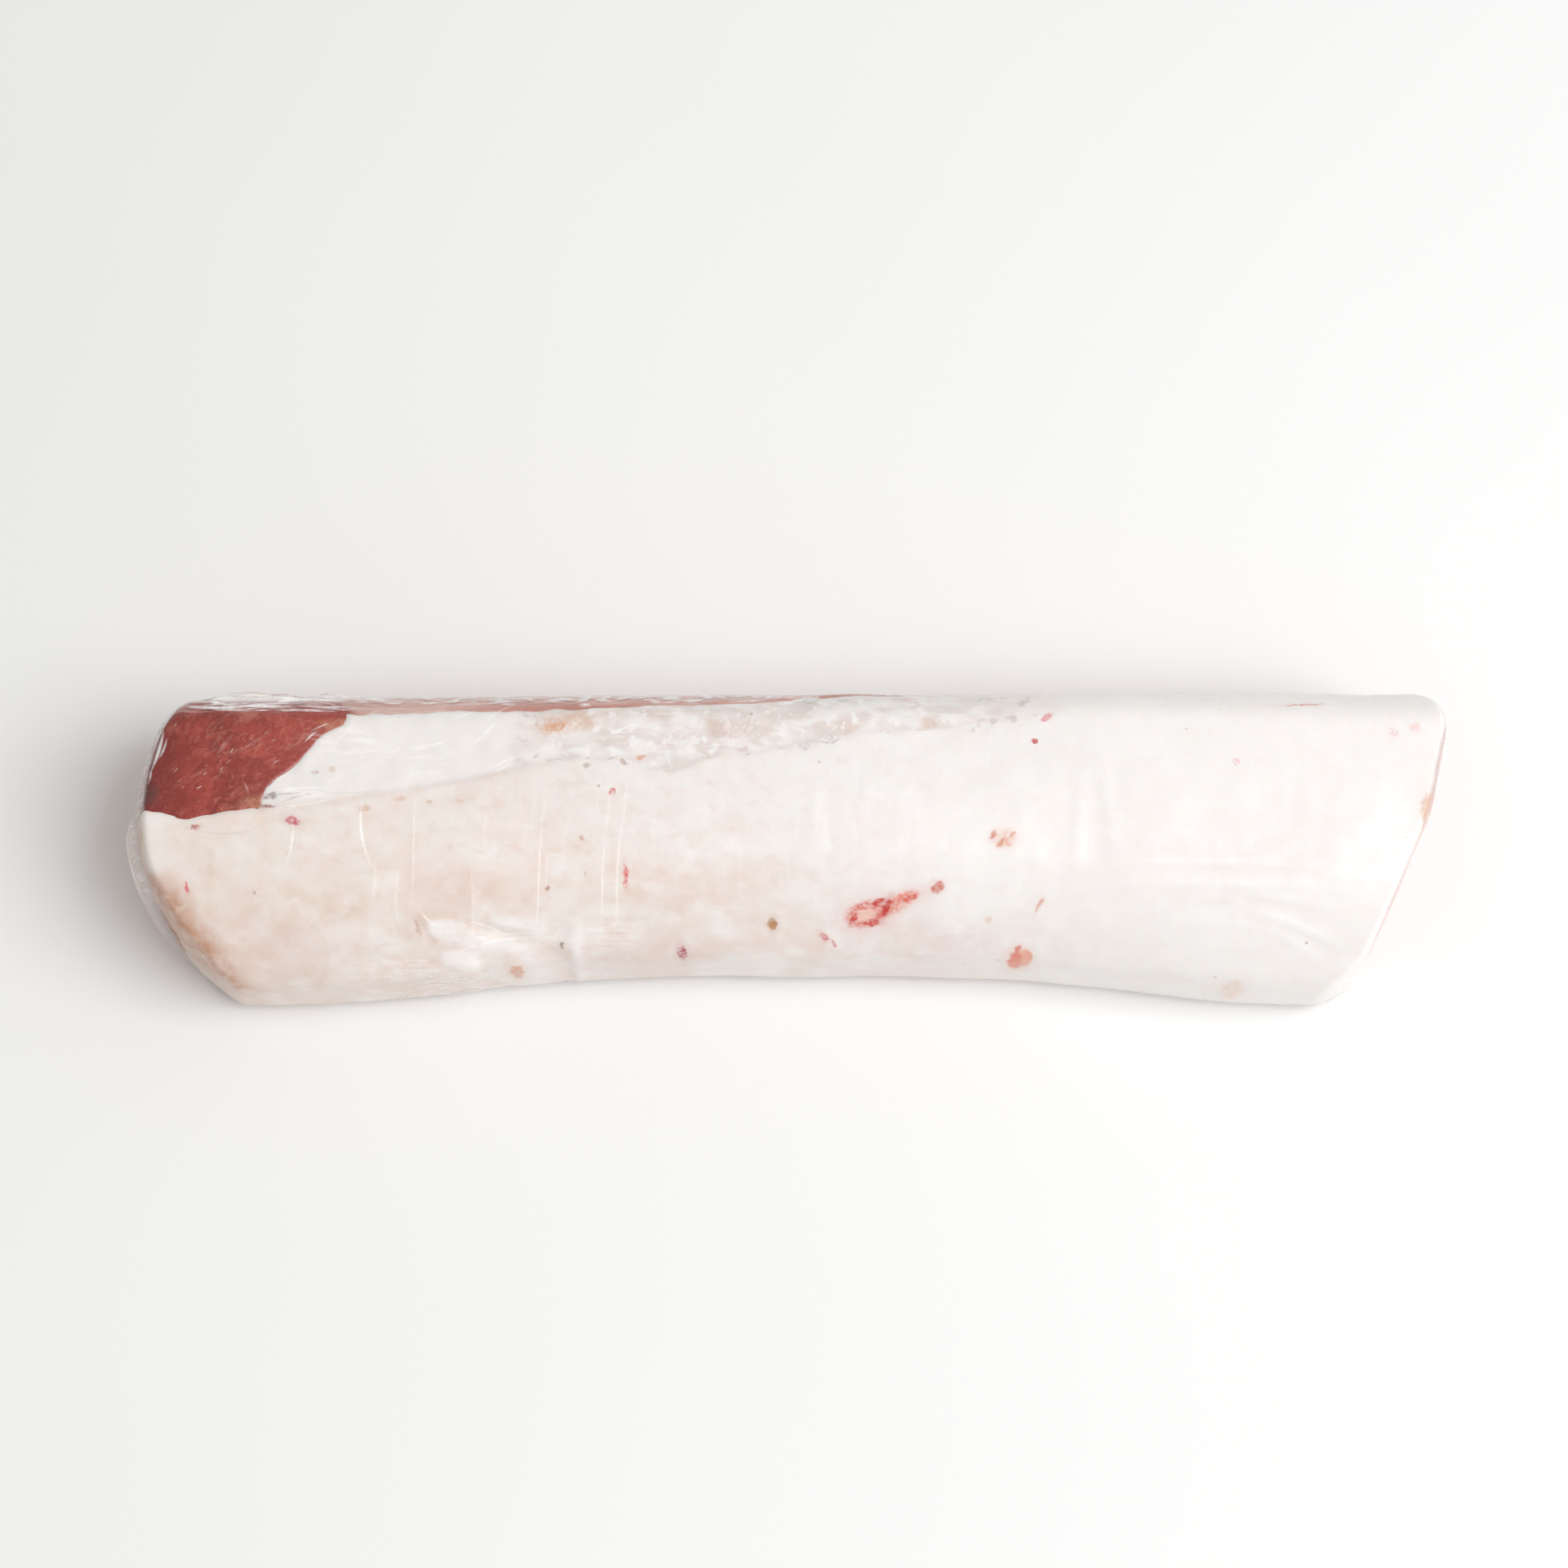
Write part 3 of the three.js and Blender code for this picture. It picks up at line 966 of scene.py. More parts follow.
@dataclass(frozen=True)
class FatFinish:
    """Cream-white fat, pinkish in places, with the membrane, stains and marks of the trimmed loin."""

    white: Colour = srgb(245, 241, 238)
    cream: Colour = srgb(240, 229, 220)
    blush: Colour = srgb(239, 219, 213)
    warm: Colour = srgb(232, 209, 191)
    tan: Colour = srgb(226, 204, 190)
    stain: Colour = srgb(196, 148, 120)
    membrane: Colour = srgb(222, 207, 200)
    # Painted shade for the right end's rounded upper edge
    right_end_shade: Colour = srgb(172, 154, 145)
    wash: Colour = srgb(226, 196, 176)
    rosy: Colour = srgb(226, 196, 193)
    fleck: Colour = srgb(222, 196, 180)
    tear: Colour = srgb(184, 164, 156)
    thin: Colour = srgb(244, 240, 237)
    speck: Colour = srgb(176, 140, 122)
    film: Colour = srgb(252, 250, 248)
    # Painted highlight for the folds' ridges and the pads, and painted shade for the folds' grooves
    ridge_highlight: Colour = srgb(255, 253, 252)
    groove_shade: Colour = srgb(206, 188, 176)
    mottle: Colour = srgb(226, 196, 180)
    milk: Colour = srgb(250, 246, 243)
    lump: Colour = srgb(248, 245, 243)
    gloss: float = 0.24

    def material(self) -> bpy.types.Material:
        """The fat's material.

        Returns:
            A procedural material on object coordinates and the cap's own attributes.
        """
        material, mix = new_material("fat_cap_fat")
        here = mix.here()
        moist = mix.use_group("moist", {"Place": here, "Gloss": self.gloss})
        colour = self._ground(mix, here, moist)
        colour = self._far_side(mix, here, colour)
        colour = self._stained(mix, here, colour)
        colour = self._marks(mix, here, colour)
        mix.surface({
            "Base Color": colour,
            "Roughness": moist["Roughness"],
            "Normal": mix.bump(moist["Height"], 0.16),
            "Subsurface Weight": 0.2,
            "Subsurface Radius": (1.0, 0.55, 0.4),
            "Subsurface Scale": 0.003,
            "Coat Weight": 0.35,
            "Coat Roughness": 0.12,
            "IOR": 1.45,
        })
        return material

    def _ground(self, mix: Recipe, here: Feed, moist: Outputs) -> Feed:
        """The fat's ground colour: white to the right, creamier to the left, pinkish low on the near side,
        with painted highlight and shade on its folds and faint painted film glints.

        Args:
            mix: The material's recipe.
            here: The place on the piece.
            moist: The wet surface's values.

        Returns:
            The ground colour.
        """
        x, y = mix.axes(here)
        colour = mix.mix(mix.ramp(x, -0.33, 0.10), self.cream, self.white)
        uneven = mix.ramp(mix.noise(here, 0.011, 3.0, 0.3), 0.30, 0.62, 0.2, 1.0)
        colour = mix.over(colour, self.wash, mix.attribute("wash"), uneven)
        colour = mix.over(colour, self.rosy, mix.attribute("rosy"), uneven)
        low = mix.times(mix.ramp(y, -0.010, -0.064), mix.ramp(x, 0.26, -0.22, 0.05, 0.8))
        colour = mix.over(colour, self.tan, low, mix.ramp(moist["Patches"], -0.3, 0.9))
        colour = mix.over(colour, self.blush, moist["Patches"], mix.ramp(x, 0.20, -0.16, 0.08, 0.37))
        clouds = mix.ramp(mix.streaks(here, 0.1, (0.6, 1.0, 1.0), 0.017, 3.0, 0.5), 0.50, 0.70)
        colour = mix.over(colour, self.warm, clouds, mix.ramp(x, 0.10, -0.17, 0.03, 0.39))
        colour = mix.over(colour, self.white, moist["Grain"], 0.30)
        # Painted highlight: faint white film glints in short streaks over the middle of the top
        veil = mix.ramp(mix.streaks(here, 0.06, (1.0, 0.09, 0.2), 0.0036, 3.0, 0.4), 0.52, 0.74)
        inside = mix.times(mix.ramp(x, -0.26, -0.05), mix.ramp(x, 0.20, 0.05), mix.ramp(y, -0.055, -0.01))
        colour = mix.over(colour, self.film, veil, inside, 0.25)
        # Painted light: ridges and pads lighter as highlights, grooves darker as shade
        crest = mix.attribute("crest")
        colour = mix.over(colour, self.ridge_highlight, mix.ramp(crest, 0.05, 1.2, 0.0, 0.6))
        colour = mix.over(colour, self.groove_shade, mix.ramp(crest, -0.05, -1.2, 0.0, 0.40))
        mottle = mix.ramp(mix.streaks(here, 0.4, (0.8, 1.0, 1.0), 0.0070, 4.0, 0.3), 0.50, 0.70)
        colour = mix.over(colour, self.mottle, mottle, mix.ramp(x, 0.16, -0.14, 0.05, 0.24))
        milky = mix.streaks(here, -0.2, (0.8, 1.0, 1.0), 0.014, 3.0, 0.2)
        return mix.over(colour, self.milk, mix.ramp(milky, 0.52, 0.72, 0.0, 0.40))

    def _far_side(self, mix: Recipe, here: Feed, colour: Feed) -> Feed:
        """The thin fat and the greyish membrane along the far side.

        Args:
            mix: The material's recipe.
            here: The place on the piece.
            colour: The colour underneath.

        Returns:
            The colour with them.
        """
        colour = mix.over(colour, self.thin, mix.attribute("band"), 0.75)
        membrane = mix.attribute("membrane")
        streak = mix.streaks(here, 0.05, (0.5, 1.0, 1.0), 0.0085, 4.0, 0.4)
        colour = mix.over(colour, self.membrane, membrane, mix.ramp(streak, 0.38, 0.62, 0.05, 0.60))
        warm = mix.streaks(here, 0.1, (0.5, 1.0, 1.0), 0.013, 3.0, 0.5)
        colour = mix.over(colour, self.fleck, membrane, mix.ramp(warm, 0.52, 0.68, 0.0, 0.55))
        lumps = mix.ramp(mix.noise(here, 0.0060, 3.0, 0.2), 0.53, 0.64, 0.0, 0.8)
        colour = mix.over(colour, self.lump, membrane, lumps)
        edge = mix.times(mix.ramp(membrane, 0.10, 0.45), mix.ramp(membrane, 0.98, 0.60))
        tears = mix.ramp(mix.noise(here, 0.0060, 3.0, 0.3), 0.55, 0.66, 0.0, 0.45)
        return mix.over(colour, self.tear, edge, tears)

    def _stained(self, mix: Recipe, here: Feed, colour: Feed) -> Feed:
        """The browned left end, a line of painted shade along the right end's upper edge and a few fine
        specks.

        Args:
            mix: The material's recipe.
            here: The place on the piece.
            colour: The colour underneath.

        Returns:
            The stained colour.
        """
        uneven = mix.ramp(mix.noise(here, 0.007, 4.0, 0.5), 0.30, 0.66, 0.55, 1.0)
        colour = mix.over(colour, self.stain, mix.attribute("stain"), uneven)
        # Painted shade along the upper part of the right end
        colour = mix.over(colour, self.right_end_shade, mix.attribute("right_end_shade"), uneven)
        cells = mix.add("ShaderNodeTexVoronoi", {"Vector": here, "Scale": 62.0}).outputs
        chance = mix.add("ShaderNodeSeparateColor", {0: cells["Color"]}).outputs[0]
        dots = mix.times(mix.ramp(cells["Distance"], 0.075, 0.03), mix.ramp(chance, 0.62, 0.66))
        return mix.over(colour, self.speck, dots, 0.55)

    @staticmethod
    def _marks(mix: Recipe, here: Feed, colour: Feed) -> Feed:
        """Lays every mark over a colour in turn.

        Args:
            mix: The material's recipe.
            here: The place on the piece.
            colour: The colour under the marks.

        Returns:
            The marked colour.
        """
        feeds = {"Vector": here, "Scale": 290.0, "Detail": 2.0}
        cloud = mix.add("ShaderNodeTexNoise", feeds).outputs["Color"]
        wander = mix.vector("SUBTRACT", cloud, (0.5, 0.5, 0.5))
        place = mix.vector("ADD", here, mix.vector("MULTIPLY", wander, (0.0034, 0.0034, 0.0)))
        gaps = mix.noise(here, 0.0021, 2.0)
        shares = sorted({mark.broken for mark in BLEMISHES})
        whole = {share: mix.ramp(gaps, 0.36, 0.60, 1.0 - share, 1.0) for share in shares}
        for mark in BLEMISHES:
            longest = max(mark.length, mark.width)
            size = Vector((mark.length, mark.width, longest * 1.3 + MARK_REACH)) * MM / 2
            mask = mix.use_group("blemish", {
                "Place": place,
                "Centre": Vector((mark.x, mark.y, mark.z)) * MM,
                "Angle": math.radians(-mark.angle),
                "Size": size,
                "Strength": mark.strength,
                "Glow": mark.strength * HALO_SHARE,
            })
            tint = srgb(*mark.tint)
            if longest >= HALO_FROM:
                colour = mix.over(colour, tint, mask["Halo"])
            colour = mix.over(colour, tint, mask["Core"], whole[mark.broken])
        return colour


@dataclass(frozen=True)
class LeanFinish:
    """Raw red meat: fibres, pale haze under the film, fascia on the far side, fat seams at the cut ends."""

    red: Colour = srgb(168, 62, 49)
    dark: Colour = srgb(130, 40, 31)
    light: Colour = srgb(192, 90, 75)
    haze: Colour = srgb(200, 130, 112)
    fascia: Colour = srgb(238, 222, 213)
    strip: Colour = srgb(220, 176, 163)
    fringe: Colour = srgb(204, 148, 118)
    # Painted shade: deeper red towards the bare patch's left end and lower edge
    left_shade: Colour = srgb(120, 26, 19)
    fresh: Colour = srgb(184, 82, 70)
    # Painted shade: dark brown for the bare patch's shaded left edge and lower-left corner
    edge_shade_tint: Colour = srgb(92, 50, 44)
    tan: Colour = srgb(190, 142, 114)
    seam: Colour = srgb(244, 230, 222)
    eye: Colour = srgb(222, 164, 152)
    eye_at: tuple[float, float] = (0.012, 0.056)
    eye_half: tuple[float, float] = (0.044, 0.026)
    gloss: float = 0.20

    def material(self) -> bpy.types.Material:
        """The lean's material.

        Returns:
            A procedural material on object coordinates and the lean's own attributes.
        """
        material, mix = new_material("lean_meat")
        here = mix.here()
        moist = mix.use_group("moist", {"Place": here, "Gloss": self.gloss})
        fibres = mix.streaks(here, -0.9, (0.45, 1.0, 1.0), 0.0026, 5.0, 0.5)
        colour = self._muscle(mix, here, fibres, moist)
        colour = self._bare_side(mix, here, colour)
        colour = self._cut_end(mix, here, colour)
        mix.surface({
            "Base Color": colour,
            "Roughness": moist["Roughness"],
            "Normal": mix.bump(mix.math("ADD", fibres, moist["Height"]), 0.35),
            "Subsurface Weight": 0.1,
            "Subsurface Radius": (1.0, 0.3, 0.2),
            "Subsurface Scale": 0.002,
            "Coat Weight": 0.4,
            "Coat Roughness": 0.10,
            "IOR": 1.4,
        })
        return material

    def _muscle(self, mix: Recipe, here: Feed, fibres: Feed, moist: Outputs) -> Feed:
        """Red muscle, mottled light and dark, with short fibres and pale haze.

        Args:
            mix: The material's recipe.
            here: The place on the piece.
            fibres: The muscle's fine streaks.
            moist: The wet surface's values.

        Returns:
            The muscle's colour.
        """
        colour = mix.over(self.red, self.dark, moist["Patches"])
        mottle = mix.streaks(here, -0.8, (0.7, 1.0, 1.0), 0.0065, 7.0, 0.3)
        colour = mix.over(colour, self.light, mix.ramp(mottle, 0.50, 0.70, 0.0, 0.60))
        colour = mix.over(colour, self.dark, mix.ramp(mottle, 0.46, 0.30, 0.0, 0.60))
        colour = mix.over(colour, self.haze, mix.ramp(fibres, 0.54, 0.74, 0.0, 0.40))
        haze = mix.streaks(here, -0.6, (0.6, 1.0, 1.0), 0.015, 6.0, 0.5)
        colour = mix.over(colour, self.haze, mix.ramp(haze, 0.54, 0.74, 0.0, 0.55))
        x, _ = mix.axes(here)
        colour = mix.over(colour, self.fresh, mix.ramp(x, -0.310, -0.255, 0.0, 0.40))
        wet = mix.noise(here, 0.0024, 3.0, 0.5)
        colour = mix.over(colour, self.light, mix.ramp(wet, 0.54, 0.72, 0.0, 0.45))
        colour = mix.over(colour, self.dark, mix.ramp(wet, 0.44, 0.28, 0.0, 0.55))
        veins = mix.off(mix.streaks(here, -0.7, (0.6, 1.0, 1.0), 0.012, 4.0, 0.8), 0.5)
        colour = mix.over(colour, self.haze, mix.ramp(veins, 0.014, 0.002, 0.0, 0.40))
        # Painted shade: the patch deepens in red towards its left end and lower edge
        return mix.over(colour, self.left_shade, mix.attribute("left_shade"))

    def _bare_side(self, mix: Recipe, here: Feed, colour: Feed) -> Feed:
        """Tan fringes beside the fat, and silvery skin in long soft streaks on the far side and underneath.

        Args:
            mix: The material's recipe.
            here: The place on the piece.
            colour: The colour underneath.

        Returns:
            The colour with them.
        """
        ragged = mix.ramp(mix.noise(here, 0.005, 4.0, 0.4), 0.36, 0.62, 0.25, 0.67)
        colour = mix.over(colour, self.fringe, mix.attribute("fringe"), ragged)
        fascia = mix.attribute("fascia")
        broad = mix.streaks(here, 0.0, (0.4, 1.0, 1.0), 0.034, 3.0, 0.4)
        colour = mix.over(colour, self.strip, fascia, mix.ramp(broad, 0.32, 0.66, 0.50, 0.92))
        streak = mix.streaks(here, 0.03, (0.10, 1.0, 1.0), 0.0080, 6.0, 0.3)
        colour = mix.over(colour, self.fascia, fascia, mix.ramp(streak, 0.42, 0.74, 0.0, 0.80))
        return mix.over(colour, self.light, fascia, mix.ramp(streak, 0.44, 0.26, 0.0, 0.45))

    def _cut_end(self, mix: Recipe, here: Feed, colour: Feed) -> Feed:
        """The cut ends: a paler eye inside a thin fat seam, fine marbling, browning on the near side, and
        painted shade at the bare patch's left edge and lower-left corner.

        Args:
            mix: The material's recipe.
            here: The place on the piece.
            colour: The colour underneath.

        Returns:
            The colour with them.
        """
        ends = mix.attribute("cut_end")
        flat = mix.vector("MULTIPLY", here, (0.15, 1.0, 1.0))
        offset = mix.vector("SUBTRACT", here, (0.0, *self.eye_at))
        far = mix.length(mix.vector("DIVIDE", offset, (1e3, *self.eye_half)))
        bulge = mix.noise(flat, 0.038, 2.0, 0.6)
        eye = mix.math("ADD", far, bulge)
        colour = mix.over(colour, self.eye, ends, mix.ramp(eye, 1.62, 1.36, 0.55, 0.85))
        grain = mix.noise(flat, 0.0030, 5.0, 0.4)
        colour = mix.over(colour, self.haze, ends, mix.ramp(grain, 0.50, 0.70, 0.0, 0.42))
        colour = mix.over(colour, self.red, ends, mix.ramp(grain, 0.48, 0.30, 0.0, 0.30))
        broken = mix.noise(flat, 0.010, 3.0)
        thickness = mix.ramp(mix.noise(flat, 0.016, 3.0), 0.36, 0.64, 0.45, 2.3)
        rim = mix.math("DIVIDE", mix.off(eye, 1.48), thickness)
        seam = mix.times(mix.ramp(rim, 0.060, 0.015), mix.ramp(broken, 0.34, 0.54, 0.15, 0.85))
        outer = mix.off(mix.math("ADD", far, mix.times(broken, 0.9)), 2.02)
        outer = mix.times(mix.ramp(outer, 0.080, 0.02, 0.0, 0.7), mix.ramp(bulge, 0.40, 0.54))
        lines = mix.off(mix.noise(flat, 0.0085, 4.0, 0.8), 0.5)
        marbling = mix.times(mix.ramp(lines, 0.012, 0.002), mix.ramp(broken, 0.46, 0.62, 0.0, 0.45))
        seam = mix.math("MAXIMUM", mix.math("MAXIMUM", seam, outer), marbling)
        colour = mix.over(colour, self.seam, seam, ends)
        colour = mix.over(colour, self.tan, mix.attribute("tanned"))
        # Painted shade along the patch's left edge and in its lower-left corner
        return mix.over(colour, self.edge_shade_tint, mix.attribute("edge_shade"))


@dataclass(frozen=True)
class FilmFinish:
    """Thin clear film: almost unseen face on, whiter where it turns away or stands off the meat, with painted
    glints where it gathers.
    """

    tint: Colour = srgb(252, 252, 250)
    stand_tint: Colour = srgb(252, 246, 238)
    clear: float = 0.014
    rim: float = 0.42
    stand: float = 0.80
    # Strength of the painted glints where the film gathers
    gather_glint: float = 0.75
    # Darker colour for low-tone creases, painted shadow lines and a seam; white for the rest, painted glints
    crease_shade_and_seam: Colour = srgb(140, 118, 108)
    crease_glint: Colour = srgb(255, 255, 254)

    def material(self) -> bpy.types.Material:
        """The wrap's material.

        Returns:
            A see-through material whose alpha comes from its angle and its distance from the meat.
        """
        material, mix = new_material("clear_film")
        here = mix.here()
        facing = mix.add("ShaderNodeLayerWeight", {"Blend": 0.35}).outputs["Facing"]
        rim = mix.times(mix.ramp(facing, 0.45, 1.0), mix.times(mix.attribute("veil"), self.rim))
        streaks = mix.ramp(mix.streaks(here, 0.03, (0.16, 1.0, 0.6), 0.0032, 2.0, 0.8), 0.50, 0.62)
        # Painted glints: the film turns white in streaks where it gathers
        gather_glint = mix.times(mix.attribute("gather_glint"), streaks, self.gather_glint)
        stand = mix.times(mix.attribute("stand_off"), mix.ramp(streaks, 0.0, 1.0, 0.6, 1.0), self.stand)
        alpha = mix.math("ADD", mix.math("ADD", rim, stand), mix.math("ADD", gather_glint, self.clear), clamp=True)
        mix.surface({
            "Base Color": mix.mix(mix.attribute("stand_off"), self.tint, self.stand_tint),
            "Roughness": 0.2,
            "Specular IOR Level": 0.3,
            "Alpha": alpha,
            "IOR": 1.5,
        })
        return material

    def crease_material(self) -> bpy.types.Material:
        """The creases' material.

        Returns:
            Painted glints of white film on the thin gathered ridges, and, where their tone is low, darker
            lines: painted shadow along the band's fold and a brown seam under the patch.
        """
        material, mix = new_material("film_crease")
        uneven = mix.ramp(mix.noise(mix.here(), 0.004, 3.0), 0.32, 0.62, 0.45, 1.0)
        mix.surface({
            "Base Color": mix.mix(mix.attribute("tone"), self.crease_shade_and_seam, self.crease_glint),
            "Roughness": 0.35,
            "Specular IOR Level": 0.2,
            "Alpha": mix.times(mix.attribute("body"), uneven),
            "IOR": 1.4,
        })
        return material


@dataclass
class FatCap:
    """The fat over the loin's top and near side: a shell down to the lean, open where it was trimmed."""

    skin: LoinSkin
    finish: FatFinish
    clearance: float = 0.0002
    most_wash: float = 0.7
    membrane_from: Span = (-0.155, -0.115)
    stain_rough: Rough = Rough(0.005, 0.016, 21.0)
    corner_gap: Span = (0.027, 0.006)
    corner_side: Span = (-0.022, -0.046)
    edge_gap: Span = (0.010, 0.002)
    edge_side: Span = (0.006, -0.008)
    edge_stain: float = 0.6
    stain_rise: Span = (0.012, 0.055)
    stain_foot: float = 0.35
    right_end_shade_near: Span = (-0.004, 0.010)
    right_end_shade_far: Span = (0.052, 0.040)
    right_end_shade_gap: Span = (0.0055, 0.0015)
    end_from: float = 0.5
    bare_step: float = 0.0008
    least_cover: float = 0.01

    def build(self) -> bpy.types.Object:
        """Models the cap.

        Returns:
            The piece.
        """
        shell = self.skin.grid()
        shell.verts.ensure_lookup_table()
        number = shell.verts.layers.int.new("number")
        names = ("band", "membrane", "stain", "crest", "right_end_shade", "wash", "rosy")
        band, membrane, stain, crest, right_end_shade, wash, rosy = float_layers(shell, *names)
        for vert, site in zip(shell.verts, self.skin.sites):
            vert.co = self.skin.place(site, site.fat_in, site.fat_along)
            vert[number] = vert.index
            vert[band] = site.band * site.cover
            vert[membrane] = vert[band] * smoothstep(vert.co.x, *self.membrane_from)
            vert[stain] = self._stain(site)
            # The folds' rise plus the pads, which the finish paints as highlight and shade
            vert[crest] = site.crest + sum(zone.share(site) for zone in PAD_HIGHLIGHTS)
            vert[right_end_shade] = self._right_end_shade(site)
            for layer, zones in ((wash, WASHES), (rosy, ROSY)):
                vert[layer] = min(self.most_wash, sum(zone.share(site) for zone in zones))
        bare = [face for face in shell.faces if all(self._bare(v[number]) for v in face.verts)]
        bmesh.ops.delete(shell, geom=bare, context="FACES")
        loose = [vert for vert in shell.verts if not vert.link_faces]
        bmesh.ops.delete(shell, geom=loose, context="VERTS")
        self._keep_largest(shell)
        made = bmesh.ops.extrude_face_region(shell, geom=shell.faces[:], use_keep_orig=True)
        for vert in (item for item in made["geom"] if isinstance(item, bmesh.types.BMVert)):
            site = self.skin.sites[vert[number]]
            inwards = max(site.lean_in, site.fat_in) + self.clearance
            along = max(site.lean_along, site.fat_along) + self.clearance
            vert.co = self.skin.place(site, inwards, along)
        bmesh.ops.recalc_face_normals(shell, faces=shell.faces[:])
        return self.dress(shell)

    def _stain(self, site: Site) -> float:
        """How browned the fat is: along the left end, most at its near corner.

        Args:
            site: The site.

        Returns:
            The share of brown there.
        """
        gap = site.left_gap + self.stain_rough.at(site.spot)
        corner = smoothstep(gap, *self.corner_gap) * smoothstep(site.spot.y, *self.corner_side)
        edge = smoothstep(gap, *self.edge_gap) * smoothstep(site.spot.y, *self.edge_side)
        rise = lerp(self.stain_foot, 1.0, smoothstep(site.spot.z, *self.stain_rise))
        return min(1.0, corner + self.edge_stain * edge) * rise

    def _right_end_shade(self, site: Site) -> float:
        """How much painted shade darkens the fat along the upper part of the right end's rounded edge."""
        upper = smoothstep(site.spot.y, *self.right_end_shade_near) * smoothstep(site.spot.y, *self.right_end_shade_far)
        return upper * smoothstep(site.right_gap, *self.right_end_shade_gap)

    def _bare(self, number: int) -> bool:
        """Whether the cap leaves a site bare.

        Args:
            number: The site's place in the list.

        Returns:
            True where there is no fat.
        """
        site = self.skin.sites[number]
        if site.end_share > self.end_from and site.fat_along > site.lean_along + self.bare_step:
            return True
        return site.cover < self.least_cover

    @staticmethod
    def _keep_largest(shell: bmesh.types.BMesh) -> None:
        """Drops every scrap of the sheet but the largest.

        Args:
            shell: The sheet.
        """
        left = set(shell.faces)
        largest: set = set()
        while left:
            island = {left.pop()}
            queue = list(island)
            while queue:
                for edge in queue.pop().edges:
                    for face in edge.link_faces:
                        if face in left:
                            left.remove(face)
                            island.add(face)
                            queue.append(face)
            largest = max(largest, island, key=len)
        scraps = [face for face in shell.faces if face not in largest]
        bmesh.ops.delete(shell, geom=scraps, context="FACES")

    def dress(self, shell: bmesh.types.BMesh) -> bpy.types.Object:
        """Gives the cap its finish and its place in the frame.

        Args:
            shell: The modelled cap.

        Returns:
            The piece.
        """
        piece = finish_piece("fat_cap_shell", shell, self.finish.material())
        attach(piece, "root")
        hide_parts("fat_cap")
        return piece


@dataclass
class LeanMeat:
    """The lean all through the loin, bare at the far-left corner, the far side, the ends and the base."""

    skin: LoinSkin
    finish: LeanFinish
    base_lift: float = 0.0004
    corner: tuple[float, ...] = (-0.279, 0.006, 0.010, 0.006)
    tip: tuple[float, ...] = (-0.237, 0.051, 0.013, 0.0045)
    foot: tuple[float, ...] = (-0.335, 0.012, 0.006, 0.007)
    oval_fade: Span = (1.3, 0.3)
    tip_fade: Span = (1.3, 0.4)
    cut_from: Span = (0.5, 0.95)
    upper: Span = (0.060, 0.088)
    upper_rough: Rough = Rough(0.012, 0.02, 31.0)
    fascia_from: Span = (0.62, 0.75)
    fascia_full: Span = (1.1, 1.6)
    fascia_top: float = 0.8
    left_edge: Span = (0.010, 0.001)
    tan_share: float = 0.55
    tan_rough: Rough = Rough(0.35, 0.014, 27.0)
    tan_side: Span = (-0.022, -0.056)
    # Strength and reach of the painted shade on the patch's left and lower part
    left_shade_share: float = 0.72
    left_shade_gap: Span = (0.05, 0.008)
    left_shade_side: Span = (0.066, 0.03)
    # Strengths of the painted shade at the patch's left edge and lower-left corner
    edge_shade_left: float = 0.5
    edge_shade_corner: float = 0.8

    def build(self) -> bpy.types.Object:
        """Models the lean.

        Returns:
            The piece.
        """
        body = self.skin.grid()
        names = ("fascia", "cut_end", "fringe", "tanned", "edge_shade", "left_shade")
        fascia, cut_end, fringe, tanned, edge_shade, left_shade = float_layers(body, *names)
        for vert, site in zip(body.verts, self.skin.sites):
            vert.co = self.skin.place(site, site.lean_in, site.lean_along)
            vert.co.z = max(vert.co.z, self.base_lift)
            vert[cut_end] = smoothstep(site.end_share, *self.cut_from)
            above = smoothstep(site.spot.z + self.upper_rough.at(site.spot), *self.upper)
            shoulder = smoothstep(site.turn, *self.fascia_from) * (1 - site.patch * above)
            shoulder *= 1 - vert[cut_end]
            vert[fascia] = shoulder * lerp(self.fascia_top, 1.0, smoothstep(site.turn, *self.fascia_full))
            corner, tip, foot = (self._oval(site, *oval) for oval in (self.corner, self.tip, self.foot))
            vert[fringe] = max(smoothstep(corner, *self.oval_fade), smoothstep(tip, *self.tip_fade))
            left = smoothstep(site.left_gap, *self.left_edge)
            patchy = self.tan_share + self.tan_rough.at(site.spot)
            vert[tanned] = patchy * left * smoothstep(site.spot.y, *self.tan_side)
            # Painted shade: darker along the patch's left edge and in its lower-left corner
            edge_shade_corner = self.edge_shade_corner * smoothstep(foot, *self.oval_fade)
            vert[edge_shade] = site.patch * above * max(self.edge_shade_left * left, edge_shade_corner)
            # Painted shade, strongest near the left end and low on the patch
            shade = smoothstep(site.left_gap, *self.left_shade_gap) * smoothstep(site.spot.y, *self.left_shade_side)
            vert[left_shade] = self.left_shade_share * shade * site.patch * above
        return self.dress(body)

    @staticmethod
    def _oval(site: Site, x: float, y: float, half_x: float, half_y: float) -> float:
        """How far a site lies from the middle of an oval of the plan, 1 on its rim."""
        return math.hypot((site.spot.x - x) / half_x, (site.spot.y - y) / half_y)

    def dress(self, body: bmesh.types.BMesh) -> bpy.types.Object:
        """Gives the lean its finish and its place in the frame.

        Args:
            body: The modelled lean.

        Returns:
            The piece.
        """
        piece = finish_piece("lean_meat", body, self.finish.material())
        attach(piece, "root")
        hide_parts("lean")
        return piece


